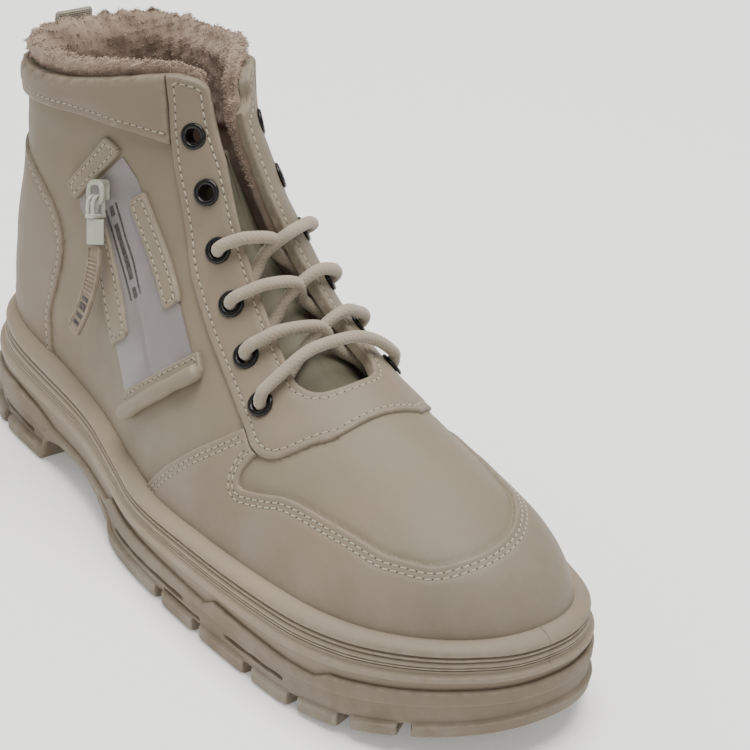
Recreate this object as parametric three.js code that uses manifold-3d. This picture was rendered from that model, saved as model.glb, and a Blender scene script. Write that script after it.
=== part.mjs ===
// Lace-up ankle boot, right foot, on a chunky moulded sole.
// Millimetres. +X points to the toe, +Y to the wearer's left, +Z up. The floor is z = 0.
import * as THREE from 'three';
import { mergeVertices } from 'three/addons/utils/BufferGeometryUtils.js';
import Module from 'manifold-3d';

const wasm = await Module();
wasm.setup();

// Last, the form that the boot is built around
const lastLength = 281;
const ballWidth = 96;
const shaftHeight = 165;
const heelRound = 45;
const toeRound = 66;
const toeHeightRound = 42;
const heelFullness = 2.8;
const toeFullness = 2.3;

// Sole
const soleTopAtHeel = 44;
const soleFlare = 9.5;
const rimDepth = 8;
const outsoleShare = 0.42;
const lipHeight = 4;
const lugDepth = 5.5;
const lugGap = 5;
const lugReach = 24;
const channelInset = 8;
const channelWidth = 4.5;
const channelDepth = 4.5;
const slitHeight = 1.4;
const slitDepth = 2.2;
const hoodDepth = 1.4;
const insoleThickness = 4;

// Upper and its overlays
const upperWall = 2.8;
const overlayWall = 1.2;
const bandWall = 1.7;
const throatTop = 4.5;
const throatFoot = 15;
const throatShift = -3;
const liningThickness = 5.5;
const liningDepth = 26;
const liningRise = 7;
const tongueWall = 3;
const tongueHalf = 23;
const tongueDip = 3.5;

// Heel loop
const loopWidth = 15;
const loopStrap = 1.6;
const loopGap = 4.6;
const loopLow = 0.679 * shaftHeight;
const loopHigh = 0.921 * shaftHeight;

// Eyelets and lace
const eyeletBore = 2.6;
const eyeletBarrel = 0.4;
const eyeletFlange = 5.1;
const eyeletCrown = 0.9;
const laceRadius = 2.15;

// Side label, its bottom roll and the zip's pull
const ribbonWall = 0.7;
const stripWall = 1.2;
const rollRadius = 3.1;
const sliderWidth = 9;
const sliderLimb = 2;
const sliderHole = 5.5;
const pullWire = 0.75;
const pullLoopLength = 4.5;
const pullLoopSpread = 2.6;
const pullYoke = 1.6;
const claspWidth = 8.4;
const claspHeight = 9;
const claspThickness = 4.6;
const tagWidth = 6.6;
const tagThickness = 2.6;
const tagLength = 32;
const tagSwing = 12;

// Clearances
const seatGap = 0.3;
const edgeGap = 0.5;
const runningGap = 0.45;

// Mesh fineness
const outlineSteps = 22;
const ringSteps = 16;
const toeRibs = 8;
const shaftRings = 15;
const tubeSides = 6;
const eyeletSides = 8;
const laceSamples = 40;

// Sections across the bottom of the last: lengths are shares of lastLength from the heel,
// centre and half are shares of ballWidth
const planRows = [
  { along: 0.000, centre: 0.026, half: 0.385 },
  { along: 0.169, centre: 0.026, half: 0.389 },
  { along: 0.297, centre: 0.000, half: 0.380 },
  { along: 0.400, centre: -0.023, half: 0.414 },
  { along: 0.461, centre: -0.029, half: 0.450 },
  { along: 0.585, centre: -0.008, half: 0.493 },
  { along: 0.753, centre: 0.004, half: 0.490 },
  { along: 0.874, centre: 0.004, half: 0.450 },
  { along: 1.000, centre: 0.045, half: 0.415 },
];

// Height of the sole's top edge, as shares of soleTopAtHeel
const soleTopRows = [
  { along: 0.000, up: 1.00 },
  { along: 0.169, up: 0.90 },
  { along: 0.297, up: 0.818 },
  { along: 0.400, up: 0.71 },
  { along: 0.461, up: 0.68 },
  { along: 0.585, up: 0.725 },
  { along: 0.753, up: 0.795 },
  { along: 0.888, up: 0.88 },
  { along: 1.000, up: 1.00 },
];

// Lift of the tread from the floor, as shares of soleTopAtHeel
const treadRows = [
  { along: -0.04, up: 0.16 },
  { along: 0.00, up: 0.03 },
  { along: 0.03, up: 0.00 },
  { along: 0.80, up: 0.00 },
  { along: 0.88, up: 0.05 },
  { along: 0.95, up: 0.15 },
  { along: 1.04, up: 0.30 },
];

// Top line of the toe and vamp, as shares of shaftHeight, with the fullness of each section
const vampRows = [
  { along: 0.621, up: 0.527, fullness: 1.85 },
  { along: 0.678, up: 0.497, fullness: 1.85 },
  { along: 0.749, up: 0.467, fullness: 1.85 },
  { along: 0.820, up: 0.442, fullness: 2.0 },
  { along: 0.900, up: 0.412, fullness: 2.3 },
  { along: 1.000, up: 0.400, fullness: 2.4 },
];

// Sections of instep, ankle and shaft. Each runs from a front point to a back point: front and back
// are shares of lastLength, heights of shaftHeight (no height: on the sole), half of ballWidth
const shaftRows = [
  { front: 0.621, frontUp: 0.527, back: 0.621, half: 0.494, fullness: 1.85 },
  { front: 0.566, frontUp: 0.572, back: 0.553, half: 0.488, fullness: 1.8 },
  { front: 0.512, frontUp: 0.628, back: 0.475, half: 0.455, fullness: 1.85 },
  { front: 0.465, frontUp: 0.690, back: 0.383, half: 0.422, fullness: 1.95 },
  { front: 0.427, frontUp: 0.758, back: 0.272, half: 0.396, fullness: 2.0 },
  { front: 0.398, frontUp: 0.824, back: 0.151, half: 0.389, fullness: 2.0 },
  { front: 0.375, frontUp: 0.880, back: 0.055, half: 0.385, fullness: 2.0 },
  { front: 0.368, frontUp: 0.900, back: 0.015, half: 0.382, fullness: 2.0 },
  { front: 0.363, frontUp: 0.915, back: 0.000, half: 0.380, fullness: 2.0 },
  { front: 0.357, frontUp: 0.933, back: 0.000, backUp: 0.270, half: 0.380, fullness: 2.0 },
  { front: 0.347, frontUp: 0.976, back: -0.004, backUp: 0.430, half: 0.370, fullness: 2.0 },
  { front: 0.339, frontUp: 1.018, back: 0.003, backUp: 0.590, half: 0.365, fullness: 2.05 },
  { front: 0.331, frontUp: 1.067, back: -0.002, backUp: 0.750, half: 0.370, fullness: 2.1 },
  { front: 0.325, frontUp: 1.115, back: -0.012, backUp: 0.921, half: 0.380, fullness: 2.1 },
];

// Collar line seen from the side, from back to front
const collarRows = [
  { along: -0.10, up: 0.860 },
  { along: 0.00, up: 0.867 },
  { along: 0.14, up: 0.900 },
  { along: 0.28, up: 0.980 },
  { along: 0.315, up: 0.990 },
  { along: 0.335, up: 0.975 },
  { along: 0.35, up: 0.93 },
  { along: 0.40, up: 0.90 },
];

// Side of the midsole, from its joint with the outsole up to the rand: up is a share of its height, out
// a share of soleFlare
const midsoleRows = [
  { up: 0.00, out: 0.84 },
  { up: 0.20, out: 0.78 },
  { up: 0.34, out: 0.82 },
  { up: 0.37, out: 0.92 },
  { up: 0.45, out: 0.92 },
  { up: 0.48, out: 0.74 },
  { up: 0.66, out: 0.70 },
  { up: 0.71, out: 0.62 },
  { up: 0.76, out: 0.68 },
  { up: 0.86, out: 0.62 },
  { up: 0.95, out: 0.42 },
  { up: 1.00, out: 0.20 },
  { up: 0.97, out: -0.50 },
];

// Side of the outsole from the tread up to its lip
const outsoleRows = [
  { up: 0.00, out: 0.80 },
  { up: 0.10, out: 0.90 },
  { up: 0.50, out: 1.00 },
  { up: 1.00, out: 1.00 },
];

// Rows of points below are seen from the side: along is a share of lastLength from the heel, up a share
// of shaftHeight
const eyestayRear = [
  { along: 0.288, up: 1.06 },
  { along: 0.294, up: 0.985 },
  { along: 0.315, up: 0.842 },
  { along: 0.358, up: 0.729 },
  { along: 0.396, up: 0.640 },
  { along: 0.435, up: 0.578 },
  { along: 0.490, up: 0.509 },
  { along: 0.554, up: 0.449 },
  { along: 0.601, up: 0.408 },
];
const eyestayFoot = [
  { along: 0.615, up: 0.396 },
  { along: 0.634, up: 0.391 },
  { along: 0.656, up: 0.402 },
  { along: 0.681, up: 0.441 },
  { along: 0.699, up: 0.472 },
  { along: 0.704, up: 0.600 },
];
const mudguardRear = [
  { along: 0.437, up: 0.100 },
  { along: 0.455, up: 0.175 },
  { along: 0.487, up: 0.249 },
  { along: 0.526, up: 0.318 },
  { along: 0.557, up: 0.366 },
  { along: 0.592, up: 0.420 },
];
const counterFront = [
  { along: -0.060, up: 0.690 },
  { along: 0.030, up: 0.682 },
  { along: 0.085, up: 0.645 },
  { along: 0.132, up: 0.583 },
  { along: 0.153, up: 0.524 },
  { along: 0.157, up: 0.450 },
  { along: 0.150, up: 0.370 },
  { along: 0.147, up: 0.322 },
  { along: 0.157, up: 0.255 },
  { along: 0.170, up: 0.150 },
];
const bandFoot = [
  { along: -0.060, up: 0.770 },
  { along: 0.030, up: 0.795 },
  { along: 0.134, up: 0.821 },
  { along: 0.206, up: 0.836 },
  { along: 0.330, up: 0.842 },
];
const ribbonCorners = [
  { along: 0.248, up: 0.776 },
  { along: 0.467, up: 0.475 },
  { along: 0.368, up: 0.308 },
  { along: 0.180, up: 0.630 },
];
const tabCorners = [
  { along: 0.158, up: 0.657 },
  { along: 0.219, up: 0.807 },
  { along: 0.246, up: 0.786 },
  { along: 0.178, up: 0.632 },
];
const stripRearCorners = [
  { along: 0.209, up: 0.591 },
  { along: 0.233, up: 0.630 },
  { along: 0.343, up: 0.434 },
  { along: 0.314, up: 0.384 },
];
const stripFrontCorners = [
  { along: 0.274, up: 0.690 },
  { along: 0.294, up: 0.724 },
  { along: 0.412, up: 0.561 },
  { along: 0.393, up: 0.527 },
];
const rollEnds = [
  { along: 0.378, up: 0.281 },
  { along: 0.490, up: 0.462 },
];
const hingeAt = { along: 0.232, up: 0.664 };
const claspAt = { along: 0.257, up: 0.564 };
const eyeletRows = [
  { along: 0.339, up: 0.872 },
  { along: 0.381, up: 0.772 },
  { along: 0.427, up: 0.674 },
  { along: 0.478, up: 0.592 },
  { along: 0.534, up: 0.521 },
  { along: 0.591, up: 0.462 },
];
const lacedFrom = 2;

// Vamp plug seen from above, left open by the mudguard: along is a share of lastLength, aside of ballWidth
const plugRows = [
  { along: 0.639, aside: -0.292 },
  { along: 0.625, aside: -0.375 },
  { along: 0.622, aside: -0.411 },
  { along: 0.628, aside: -0.427 },
  { along: 0.646, aside: -0.420 },
  { along: 0.672, aside: -0.400 },
  { along: 0.697, aside: -0.377 },
  { along: 0.733, aside: -0.356 },
  { along: 0.793, aside: -0.333 },
  { along: 0.850, aside: -0.308 },
  { along: 0.875, aside: -0.280 },
  { along: 0.906, aside: -0.224 },
  { along: 0.921, aside: -0.153 },
  { along: 0.927, aside: -0.062 },
  { along: 0.924, aside: 0.019 },
  { along: 0.915, aside: 0.088 },
  { along: 0.900, aside: 0.147 },
  { along: 0.877, aside: 0.208 },
  { along: 0.844, aside: 0.267 },
  { along: 0.792, aside: 0.312 },
  { along: 0.731, aside: 0.349 },
  { along: 0.696, aside: 0.370 },
  { along: 0.671, aside: 0.391 },
  { along: 0.646, aside: 0.406 },
  { along: 0.628, aside: 0.411 },
  { along: 0.622, aside: 0.396 },
  { along: 0.625, aside: 0.354 },
  { along: 0.639, aside: 0.292 },
];

// Half width of the throat from its foot to behind the collar, as shares of throatFoot or throatTop;
// its cut starts at the share throatLow of shaftHeight
const throatRows = [
  { along: 0.645, half: 0.35, top: false },
  { along: 0.632, half: 0.80, top: false },
  { along: 0.605, half: 1.00, top: false },
  { along: 0.380, half: 1.00, top: true },
  { along: 0.200, half: 1.00, top: true },
];
const throatLow = 0.4;

// Top edge of the outsole's lip above its joint, as shares of lipHeight
const lipRows = [
  { along: -0.10, lift: 0.30 },
  { along: 0.02, lift: 0.30 },
  { along: 0.05, lift: 0.85 },
  { along: 0.11, lift: 1.25 },
  { along: 0.17, lift: 0.90 },
  { along: 0.22, lift: 0.20 },
  { along: 0.385, lift: 0.20 },
  { along: 0.400, lift: 1.00 },
  { along: 0.645, lift: 0.25 },
  { along: 0.662, lift: 1.00 },
  { along: 0.845, lift: 0.30 },
  { along: 0.865, lift: 0.95 },
  { along: 1.10, lift: 0.80 },
];

// Waist of the tread, as shares of soleTopAtHeel
const waistRows = [
  { along: 0.195, up: -0.05 },
  { along: 0.205, up: 0.21 },
  { along: 0.235, up: 0.27 },
  { along: 0.300, up: 0.28 },
  { along: 0.355, up: 0.20 },
  { along: 0.395, up: 0.08 },
  { along: 0.425, up: -0.05 },
];
const edgeGaps = [0.015, 0.096, 0.553, 0.635, 0.738, 0.813, 0.877, 0.934];
const middleGaps = [0.055, 0.130, 0.490, 0.555, 0.620, 0.685, 0.750];

// Slits and hood pressed into the outsole's side: from and to are shares of lastLength, low and high
// shares of the height between tread and joint
const slits = [
  { from: 0.425, to: 0.600, low: 0.70, high: 0.80 },
  { from: 0.690, to: 0.800, low: 0.62, high: 0.72 },
  { from: 0.070, to: 0.160, low: 0.46, high: 0.53 },
];
const hood = { from: 0.045, to: 0.185, low: 0.60, high: 0.62, arch: 0.36 };

// Small helpers
const clamp = (value, low, high) => Math.min(high, Math.max(low, value));
const mix = (a, b, t) => a + (b - a) * t;

// Reads a column of a table between its rows, as a smooth curve or as straight stretches
function lookUp(rows, key, at, column, smooth = true) {
  const last = rows.length - 1;
  if (at <= rows[0][key]) return rows[0][column];
  if (at >= rows[last][key]) return rows[last][column];
  const i = rows.findIndex((row, k) => k < last && at <= rows[k + 1][key]);
  const step = rows[i + 1][key] - rows[i][key];
  const t = (at - rows[i][key]) / step;
  if (!smooth) return mix(rows[i][column], rows[i + 1][column], t);
  const slope = (a, b) => (rows[b][column] - rows[a][column]) / (rows[b][key] - rows[a][key]);
  const here = slope(i, i + 1);
  const before = i > 0 ? (slope(i - 1, i) + here) / 2 : here;
  const after = i + 1 < last ? (slope(i + 1, i + 2) + here) / 2 : here;
  const t2 = t * t;
  const t3 = t2 * t;
  return (2 * t3 - 3 * t2 + 1) * rows[i][column] + (t3 - 2 * t2 + t) * step * before
    + (3 * t2 - 2 * t3) * rows[i + 1][column] + (t3 - t2) * step * after;
}

// Rounds a width off at an end: 0 at the end, 1 from one radius inwards
function roundOff(distance, radius, fullness) {
  const t = 1 - clamp(distance / radius, 0, 1);
  return (1 - t ** fullness) ** (1 / fullness);
}

// Heights along the sole
const lastX = (along) => (along - 0.5) * lastLength;
const alongOf = (x) => x / lastLength + 0.5;
const soleTop = (x) => soleTopAtHeel * lookUp(soleTopRows, 'along', alongOf(x), 'up');
const treadLift = (x) => soleTopAtHeel * lookUp(treadRows, 'along', alongOf(x), 'up', false);
const joint = (x) => mix(treadLift(x), soleTop(x), outsoleShare);
const platform = (x) => soleTop(x) - rimDepth;

// Outline of the last's bottom
const planCentre = (along) => ballWidth * lookUp(planRows, 'along', along, 'centre');
const heelCentre = planCentre(0);

function planHalf(along) {
  const heel = roundOff(along * lastLength, heelRound, heelFullness);
  const toe = roundOff((1 - along) * lastLength, toeRound, toeFullness);
  return ballWidth * lookUp(planRows, 'along', along, 'half') * heel * toe;
}

// The last sways to one side near the sole and stands over the heel from swayEnd upwards
const swayEnd = 0.73 * shaftHeight;

function centreAt(x, z) {
  const low = clamp(1.5 * (1 - z / swayEnd), 0, 1);
  return mix(heelCentre, planCentre(clamp(alongOf(x), 0, 1)), low * low * (3 - 2 * low));
}

// Sections of the last, numbered from the toe tip (0) over the instep (toeRibs) to above the collar
const ribEnd = toeRibs + shaftRows.length - 1;
const cornerStep = shaftRows.findIndex((row) => row.backUp !== undefined) - 1;
const shaftSteps = shaftRows.map((row, step) => ({
  ...row,
  step,
  rise: row.backUp === undefined ? platform(lastX(row.back)) : shaftHeight * row.backUp,
}));

function toeRib(s) {
  const turn = (Math.PI / 2) * (s / toeRibs);
  const along = shaftRows[0].front + (1 - shaftRows[0].front) * Math.cos(turn);
  const x = lastX(along);
  const low = platform(x);
  const crest = shaftHeight * lookUp(vampRows, 'along', along, 'up') - low;
  const drop = roundOff((1 - along) * lastLength, toeHeightRound, toeFullness);
  const half = planHalf(along);
  return {
    front: [x, low + crest * drop],
    back: [x, low],
    half,
    foot: half,
    fullness: lookUp(vampRows, 'along', along, 'fullness'),
    onSole: true,
  };
}

function shaftRib(s) {
  const step = s - toeRibs;
  const read = (column) => lookUp(shaftSteps, 'step', step, column);
  const backX = lastX(read('back'));
  const onSole = step <= cornerStep;
  const foot = onSole ? planHalf(alongOf(backX)) : 0;
  return {
    front: [lastX(read('front')), shaftHeight * read('frontUp')],
    back: [backX, onSole ? platform(backX) : lookUp(shaftSteps.slice(cornerStep), 'step', step, 'rise')],
    half: Math.max(ballWidth * read('half'), foot),
    foot,
    fullness: read('fullness'),
    onSole,
  };
}

const rib = (s) => (s <= toeRibs ? toeRib(s) : shaftRib(s));

// A point of the last's surface. v runs from -1 (lateral, at the sole or back line) over 0 (the front
// line) to 1 (medial)
function lastPoint(s, v) {
  const { front, back, half, foot, fullness } = rib(s);
  const t = (1 + Math.cos(Math.PI * v)) / 2;
  const x = mix(back[0], front[0], t);
  const z = mix(back[1], front[1], t);
  let width = half * (1 - t ** fullness) ** (1 / fullness);
  if (s > toeRibs) {
    const length = Math.hypot(front[0] - back[0], front[1] - back[1]);
    const start = 1 - (1 - clamp(foot / half, 0, 1) ** heelFullness) ** (1 / heelFullness);
    width *= roundOff(t * length + start * heelRound, heelRound, heelFullness);
  }
  return new THREE.Vector3(x, centreAt(x, z) + Math.sign(v) * width, z);
}

function normalAt(s, v) {
  if (s < 0.05) return new THREE.Vector3(1, 0, 0);
  const ds = 0.02;
  const dv = 0.01;
  const onward = lastPoint(Math.min(s + ds, ribEnd), v).sub(lastPoint(s - ds, v));
  const round = lastPoint(s, Math.min(v + dv, 1)).sub(lastPoint(s, Math.max(v - dv, -1)));
  return round.cross(onward).normalize();
}

// The same point pushed out along the surface's normal
const shellPoint = (s, v, out) => lastPoint(s, v).addScaledVector(normalAt(s, v), out);

// Finds the section and the place on it that show at (x, z) from the side
function findSide(x, z) {
  const miss = (s) => {
    const { front, back } = rib(s);
    return (front[0] - back[0]) * (z - back[1]) - (front[1] - back[1]) * (x - back[0]);
  };
  let low = 0.3;
  let high = ribEnd;
  for (let turn = 0; turn < 40; turn += 1) {
    const middle = (low + high) / 2;
    if (miss(middle) > 0) low = middle;
    else high = middle;
  }
  const { front, back } = rib(low);
  const span = [front[0] - back[0], front[1] - back[1]];
  const t = ((x - back[0]) * span[0] + (z - back[1]) * span[1]) / (span[0] ** 2 + span[1] ** 2);
  return { s: low, v: Math.acos(clamp(2 * t - 1, -1, 1)) / Math.PI };
}

const placeOf = ({ along, up }) => [lastX(along), shaftHeight * up];

function sidePlace(row, side, out) {
  const { s, v } = findSide(...placeOf(row));
  return { point: shellPoint(s, side * v, out), normal: normalAt(s, side * v), s, v: side * v };
}

// Closed solids from geometry and back
function solidOf(source) {
  const bare = source.clone();
  bare.deleteAttribute('normal');
  bare.deleteAttribute('uv');
  const merged = mergeVertices(bare, 1e-4);
  const index = merged.index.array;
  const kept = [];
  for (let i = 0; i < index.length; i += 3) {
    const [a, b, c] = [index[i], index[i + 1], index[i + 2]];
    if (a !== b && b !== c && c !== a) kept.push([a, b, c]);
  }
  const build = (faces) => new wasm.Manifold(new wasm.Mesh({
    numProp: 3,
    vertProperties: new Float32Array(merged.attributes.position.array),
    triVerts: new Uint32Array(faces.flat()),
  }));
  const solid = build(kept);
  return solid.volume() > 0 ? solid : build(kept.map(([a, b, c]) => [a, c, b]));
}

function geometryOf(solid) {
  const { vertProperties, triVerts } = solid.getMesh();
  const geometry = new THREE.BufferGeometry();
  geometry.setAttribute('position', new THREE.BufferAttribute(new Float32Array(vertProperties), 3));
  geometry.setIndex(new THREE.BufferAttribute(new Uint32Array(triVerts), 1));
  geometry.computeVertexNormals();
  return geometry;
}

const joined = (solids) => solids.reduce((whole, next) => whole.add(next));
const without = (solid, cuts) => cuts.reduce((rest, cut) => rest.subtract(cut), solid);

// Rings of equal length become the wall of a solid; both ends are closed by rungs from side to side
function loft(rings) {
  const count = rings[0].length;
  const faces = [];
  for (let r = 0; r + 1 < rings.length; r += 1) {
    for (let i = 0; i < count; i += 1) {
      const j = (i + 1) % count;
      const base = r * count;
      faces.push([base + i, base + j, base + count + j], [base + i, base + count + j, base + count + i]);
    }
  }
  for (let i = 0; i < Math.floor(count / 2); i += 1) {
    const [a, b, c, d] = [i, i + 1, count - 1 - i, (count - i) % count];
    const end = (rings.length - 1) * count;
    faces.push([c, b, a], [d, c, a], [end + a, end + b, end + c], [end + a, end + c, end + d]);
  }
  const points = rings.flat().map((point) => (point.isVector3 ? point.toArray() : point));
  const geometry = new THREE.BufferGeometry();
  geometry.setAttribute('position', new THREE.BufferAttribute(new Float32Array(points.flat()), 3));
  geometry.setIndex(faces.flat());
  return solidOf(geometry);
}

// The last as a closed solid, offset outwards, its bottom lowered
function lastSolid(out, lower = 0) {
  const rings = [];
  for (let k = 0; k <= toeRibs + shaftRings; k += 1) {
    const s = k < toeRibs ? k : mix(toeRibs, ribEnd, (k - toeRibs) / shaftRings);
    const { onSole, back } = rib(s);
    const ring = [];
    for (let i = 0; i <= ringSteps; i += 1) {
      const v = -1 + (2 * i) / ringSteps;
      const atFoot = onSole && Math.abs(v) === 1;
      const normal = atFoot ? normalAt(s, v).setZ(0).normalize() : normalAt(s, v);
      const point = lastPoint(s, v).addScaledVector(normal, out);
      if (atFoot) point.z = back[1] - lower;
      ring.push(point);
    }
    rings.push(ring);
  }
  return loft(rings);
}

const shell = (inner, wall) => lastSolid(inner + wall).subtract(lastSolid(inner));

// Prisms from outlines seen from the side (x, z) and from above (x, y)
function extrude(points, depth) {
  const shape = new THREE.Shape(points.map(([a, b]) => new THREE.Vector2(a, b)));
  return new THREE.ExtrudeGeometry(shape, { depth, bevelEnabled: false });
}

const sidePrism = (points, from = -ballWidth, to = ballWidth) => (
  solidOf(extrude(points, to - from).rotateX(Math.PI / 2).translate(0, to, 0))
);
const planPrism = (points, from, to) => solidOf(extrude(points, to - from).translate(0, 0, from));

// A bar along a smooth curve
function rod(points, radius, steps) {
  const curve = new THREE.CatmullRomCurve3(points);
  const disc = new THREE.Shape();
  for (let k = 0; k < tubeSides; k += 1) {
    const turn = (2 * Math.PI * k) / tubeSides;
    const corner = [radius * Math.cos(turn), radius * Math.sin(turn)];
    if (k === 0) disc.moveTo(...corner);
    else disc.lineTo(...corner);
  }
  return solidOf(new THREE.ExtrudeGeometry(disc, { steps, extrudePath: curve, bevelEnabled: false }));
}

// Sole: outlines at any offset from the outline of the last
const stepOf = (along) => (outlineSteps * Math.acos(clamp(1 - 2 * along, -1, 1))) / Math.PI;

function outlinePoint(step, side, out) {
  const at = (k) => {
    const along = (1 - Math.cos((Math.PI * clamp(k, 0, outlineSteps)) / outlineSteps)) / 2;
    return new THREE.Vector2(lastX(along), planCentre(along) + side * planHalf(along));
  };
  const point = at(step);
  if (step <= 0) return point.setX(point.x - out);
  if (step >= outlineSteps) return point.setX(point.x + out);
  const way = at(step + 0.2).sub(at(step - 0.2)).normalize();
  return point.add(new THREE.Vector2(-way.y, way.x).multiplyScalar(side * out));
}

function outlineRing(out, height) {
  const ring = [];
  for (let i = 0; i < 2 * outlineSteps; i += 1) {
    const side = i <= outlineSteps ? -1 : 1;
    const { x, y } = outlinePoint(side < 0 ? i : 2 * outlineSteps - i, side, out);
    ring.push([x, y, height(x)]);
  }
  return ring;
}

// A bar that follows the sole's side, for slits and pressed fields
function sideBar({ from, to }, side, depth, lowAt, highAt) {
  const bars = 5;
  const rings = [];
  for (let k = 0; k <= bars; k += 1) {
    const share = k / bars;
    const step = stepOf(mix(from, to, share));
    const inner = outlinePoint(step, side, soleFlare - depth);
    const outer = outlinePoint(step, side, soleFlare + depth);
    const [low, high] = [lowAt(inner.x, share), highAt(inner.x, share)];
    rings.push([
      [inner.x, inner.y, low], [outer.x, outer.y, low], [outer.x, outer.y, high], [inner.x, inner.y, high],
    ]);
  }
  return loft(rings);
}

const sides = { lateral: -1, medial: 1 };
const bothSides = (make) => joined(Object.values(sides).map(make));

const midsoleBlock = (out, lower = 0) => loft(midsoleRows.map((row) => outlineRing(
  row.out * soleFlare + out,
  (x) => mix(joint(x), soleTop(x), row.up) - (row.up === 0 ? lower : 0),
)));

function makeMidsole() {
  return midsoleBlock(0).subtract(lastSolid(seatGap, 0));
}

// Blocks that cut the tread into lugs: short gaps at the edge, a channel inside them, gaps across
function edgeNotch(along, side) {
  const step = stepOf(along);
  const outer = outlinePoint(step, side, soleFlare + lugGap);
  const inner = outlinePoint(step, side, soleFlare - lugReach);
  const way = outer.clone().sub(inner).normalize().multiplyScalar(lugGap / 2);
  const corners = [
    [inner.x - way.y, inner.y + way.x], [inner.x + way.y, inner.y - way.x],
    [outer.x + way.y, outer.y - way.x], [outer.x - way.y, outer.y + way.x],
  ];
  return planPrism(corners, -lugGap, treadLift(outer.x) + lugDepth);
}

function makeOutsole() {
  const block = loft(outsoleRows.map((row) => outlineRing(
    row.out * soleFlare,
    (x) => mix(treadLift(x), joint(x), row.up) + (row.up === 1 ? 2 * lipHeight : 0),
  )));
  const lipLine = lipRows.flatMap((row, k) => {
    const next = lipRows[k + 1] ?? row;
    return [0, 0.5].map((share) => {
      const x = lastX(mix(row.along, next.along, share));
      return [x, joint(x) + lipHeight * mix(row.lift, next.lift, share)];
    });
  });
  const [start, end] = [lipLine[0][0], lipLine.at(-1)[0]];
  const aboveLip = sidePrism([...lipLine.slice(0, -1), [end, shaftHeight], [start, shaftHeight]]);
  const waist = sidePrism(waistRows.map((row) => [lastX(row.along), soleTopAtHeel * row.up]));
  const gaps = bothSides((side) => joined(edgeGaps.map((along) => edgeNotch(along, side))));
  const flat = (out) => outlineRing(out, () => 0).map(([x, y]) => [x, y]);
  const channel = planPrism(flat(-channelInset), -lugGap, channelDepth)
    .subtract(planPrism(flat(-channelInset - channelWidth), -2 * lugGap, 2 * channelDepth));
  const crossings = joined(middleGaps.map((along) => {
    const reach = planHalf(along) - channelInset - channelWidth / 2;
    const [x, y] = [lastX(along), planCentre(along)];
    return planPrism([
      [x - lugGap / 2, y - reach], [x + lugGap / 2, y - reach],
      [x + lugGap / 2, y + reach], [x - lugGap / 2, y + reach],
    ], -lugGap, channelDepth);
  }));
  const at = (x, share) => mix(treadLift(x), joint(x), share);
  const pressed = bothSides((side) => joined([
    ...slits.map((slit) => sideBar(
      slit, side, slitDepth, (x) => at(x, slit.low), (x) => at(x, slit.low) + slitHeight,
    )),
    sideBar(
      hood, side, hoodDepth, (x) => at(x, hood.low),
      (x, share) => at(x, hood.high + hood.arch * Math.sin(Math.PI * share)),
    ),
  ]));
  return without(block, [midsoleBlock(seatGap, seatGap), aboveLip, waist, gaps, channel, crossings, pressed]);
}

// Upper: the last's shell, cut by the collar line and the throat
const collarLine = collarRows.map(placeOf);
const aboveLine = (line) => sidePrism([
  ...line, [line.at(-1)[0], 2 * shaftHeight], [line[0][0], 2 * shaftHeight],
]);
const aboveCollar = aboveLine(collarLine);

const throatCentre = heelCentre + throatShift;
const throatLine = throatRows.map(({ along, half, top }) => [lastX(along), half * (top ? throatTop : throatFoot)]);

function throatSolid(widen) {
  const edge = (side) => throatLine.map(([x, half]) => [x + widen, throatCentre + side * (half + widen)]);
  return planPrism([...edge(-1), ...edge(1).reverse()], throatLow * shaftHeight, 2 * shaftHeight);
}
const throat = throatSolid(0);

const belowSole = sidePrism([
  ...outlineRing(soleFlare, soleTop).slice(0, outlineSteps + 1).map(([x, , z]) => [x, z + seatGap]),
  [lastLength, -shaftHeight], [-lastLength, -shaftHeight],
]);

function eyeletHoles(radius) {
  return joined(eyeletRows.flatMap((row) => Object.values(sides).map((side) => {
    const { point, normal } = sidePlace(row, side, 0);
    const drill = new THREE.CylinderGeometry(radius, radius, 6 * upperWall, eyeletSides);
    drill.applyQuaternion(new THREE.Quaternion().setFromUnitVectors(THREE.Object3D.DEFAULT_UP, normal));
    return solidOf(drill.translate(...point));
  })));
}
const eyeletHoleRadius = eyeletBore + eyeletBarrel + seatGap;
const eyeletBores = eyeletHoles(eyeletHoleRadius);

function makeUpper() {
  const hollow = lastSolid(-upperWall, rimDepth);
  return without(lastSolid(0, -seatGap), [hollow, aboveCollar, throat, eyeletBores]);
}

// Overlays: shells over the upper, cut to their outline from the side
const overlay = shell(seatGap, overlayWall);
const moved = (rows, x, z) => rows.map(placeOf).map(([a, b]) => [a + x, b + z]);
const eyestayPrism = (gap) => sidePrism([
  ...moved(eyestayRear, -gap, -gap), ...moved(eyestayFoot, gap, -gap), [lastX(0.704) + gap, 2 * shaftHeight],
  [lastX(eyestayRear[0].along) - gap, 2 * shaftHeight],
]);
const trimmed = (solid) => without(solid, [belowSole, aboveCollar]);

const makeEyestay = () => without(trimmed(overlay.intersect(eyestayPrism(0))), [throat, eyeletBores]);

function makeMudguard() {
  const rear = moved(mudguardRear, 0, 0);
  const outline = [...rear, [rear.at(-1)[0], shaftHeight], [lastLength, shaftHeight], [lastLength, 0]];
  const plug = planPrism(plugRows.map((row) => [lastX(row.along), ballWidth * row.aside]), 0, shaftHeight);
  return without(trimmed(overlay.intersect(sidePrism(outline))), [plug, eyestayPrism(edgeGap)]);
}

function makeCounter() {
  return trimmed(overlay.intersect(sidePrism([
    ...moved(counterFront, 0, 0), [-lastLength, 0], [-lastLength, shaftHeight * counterFront[0].up],
  ])));
}

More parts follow.
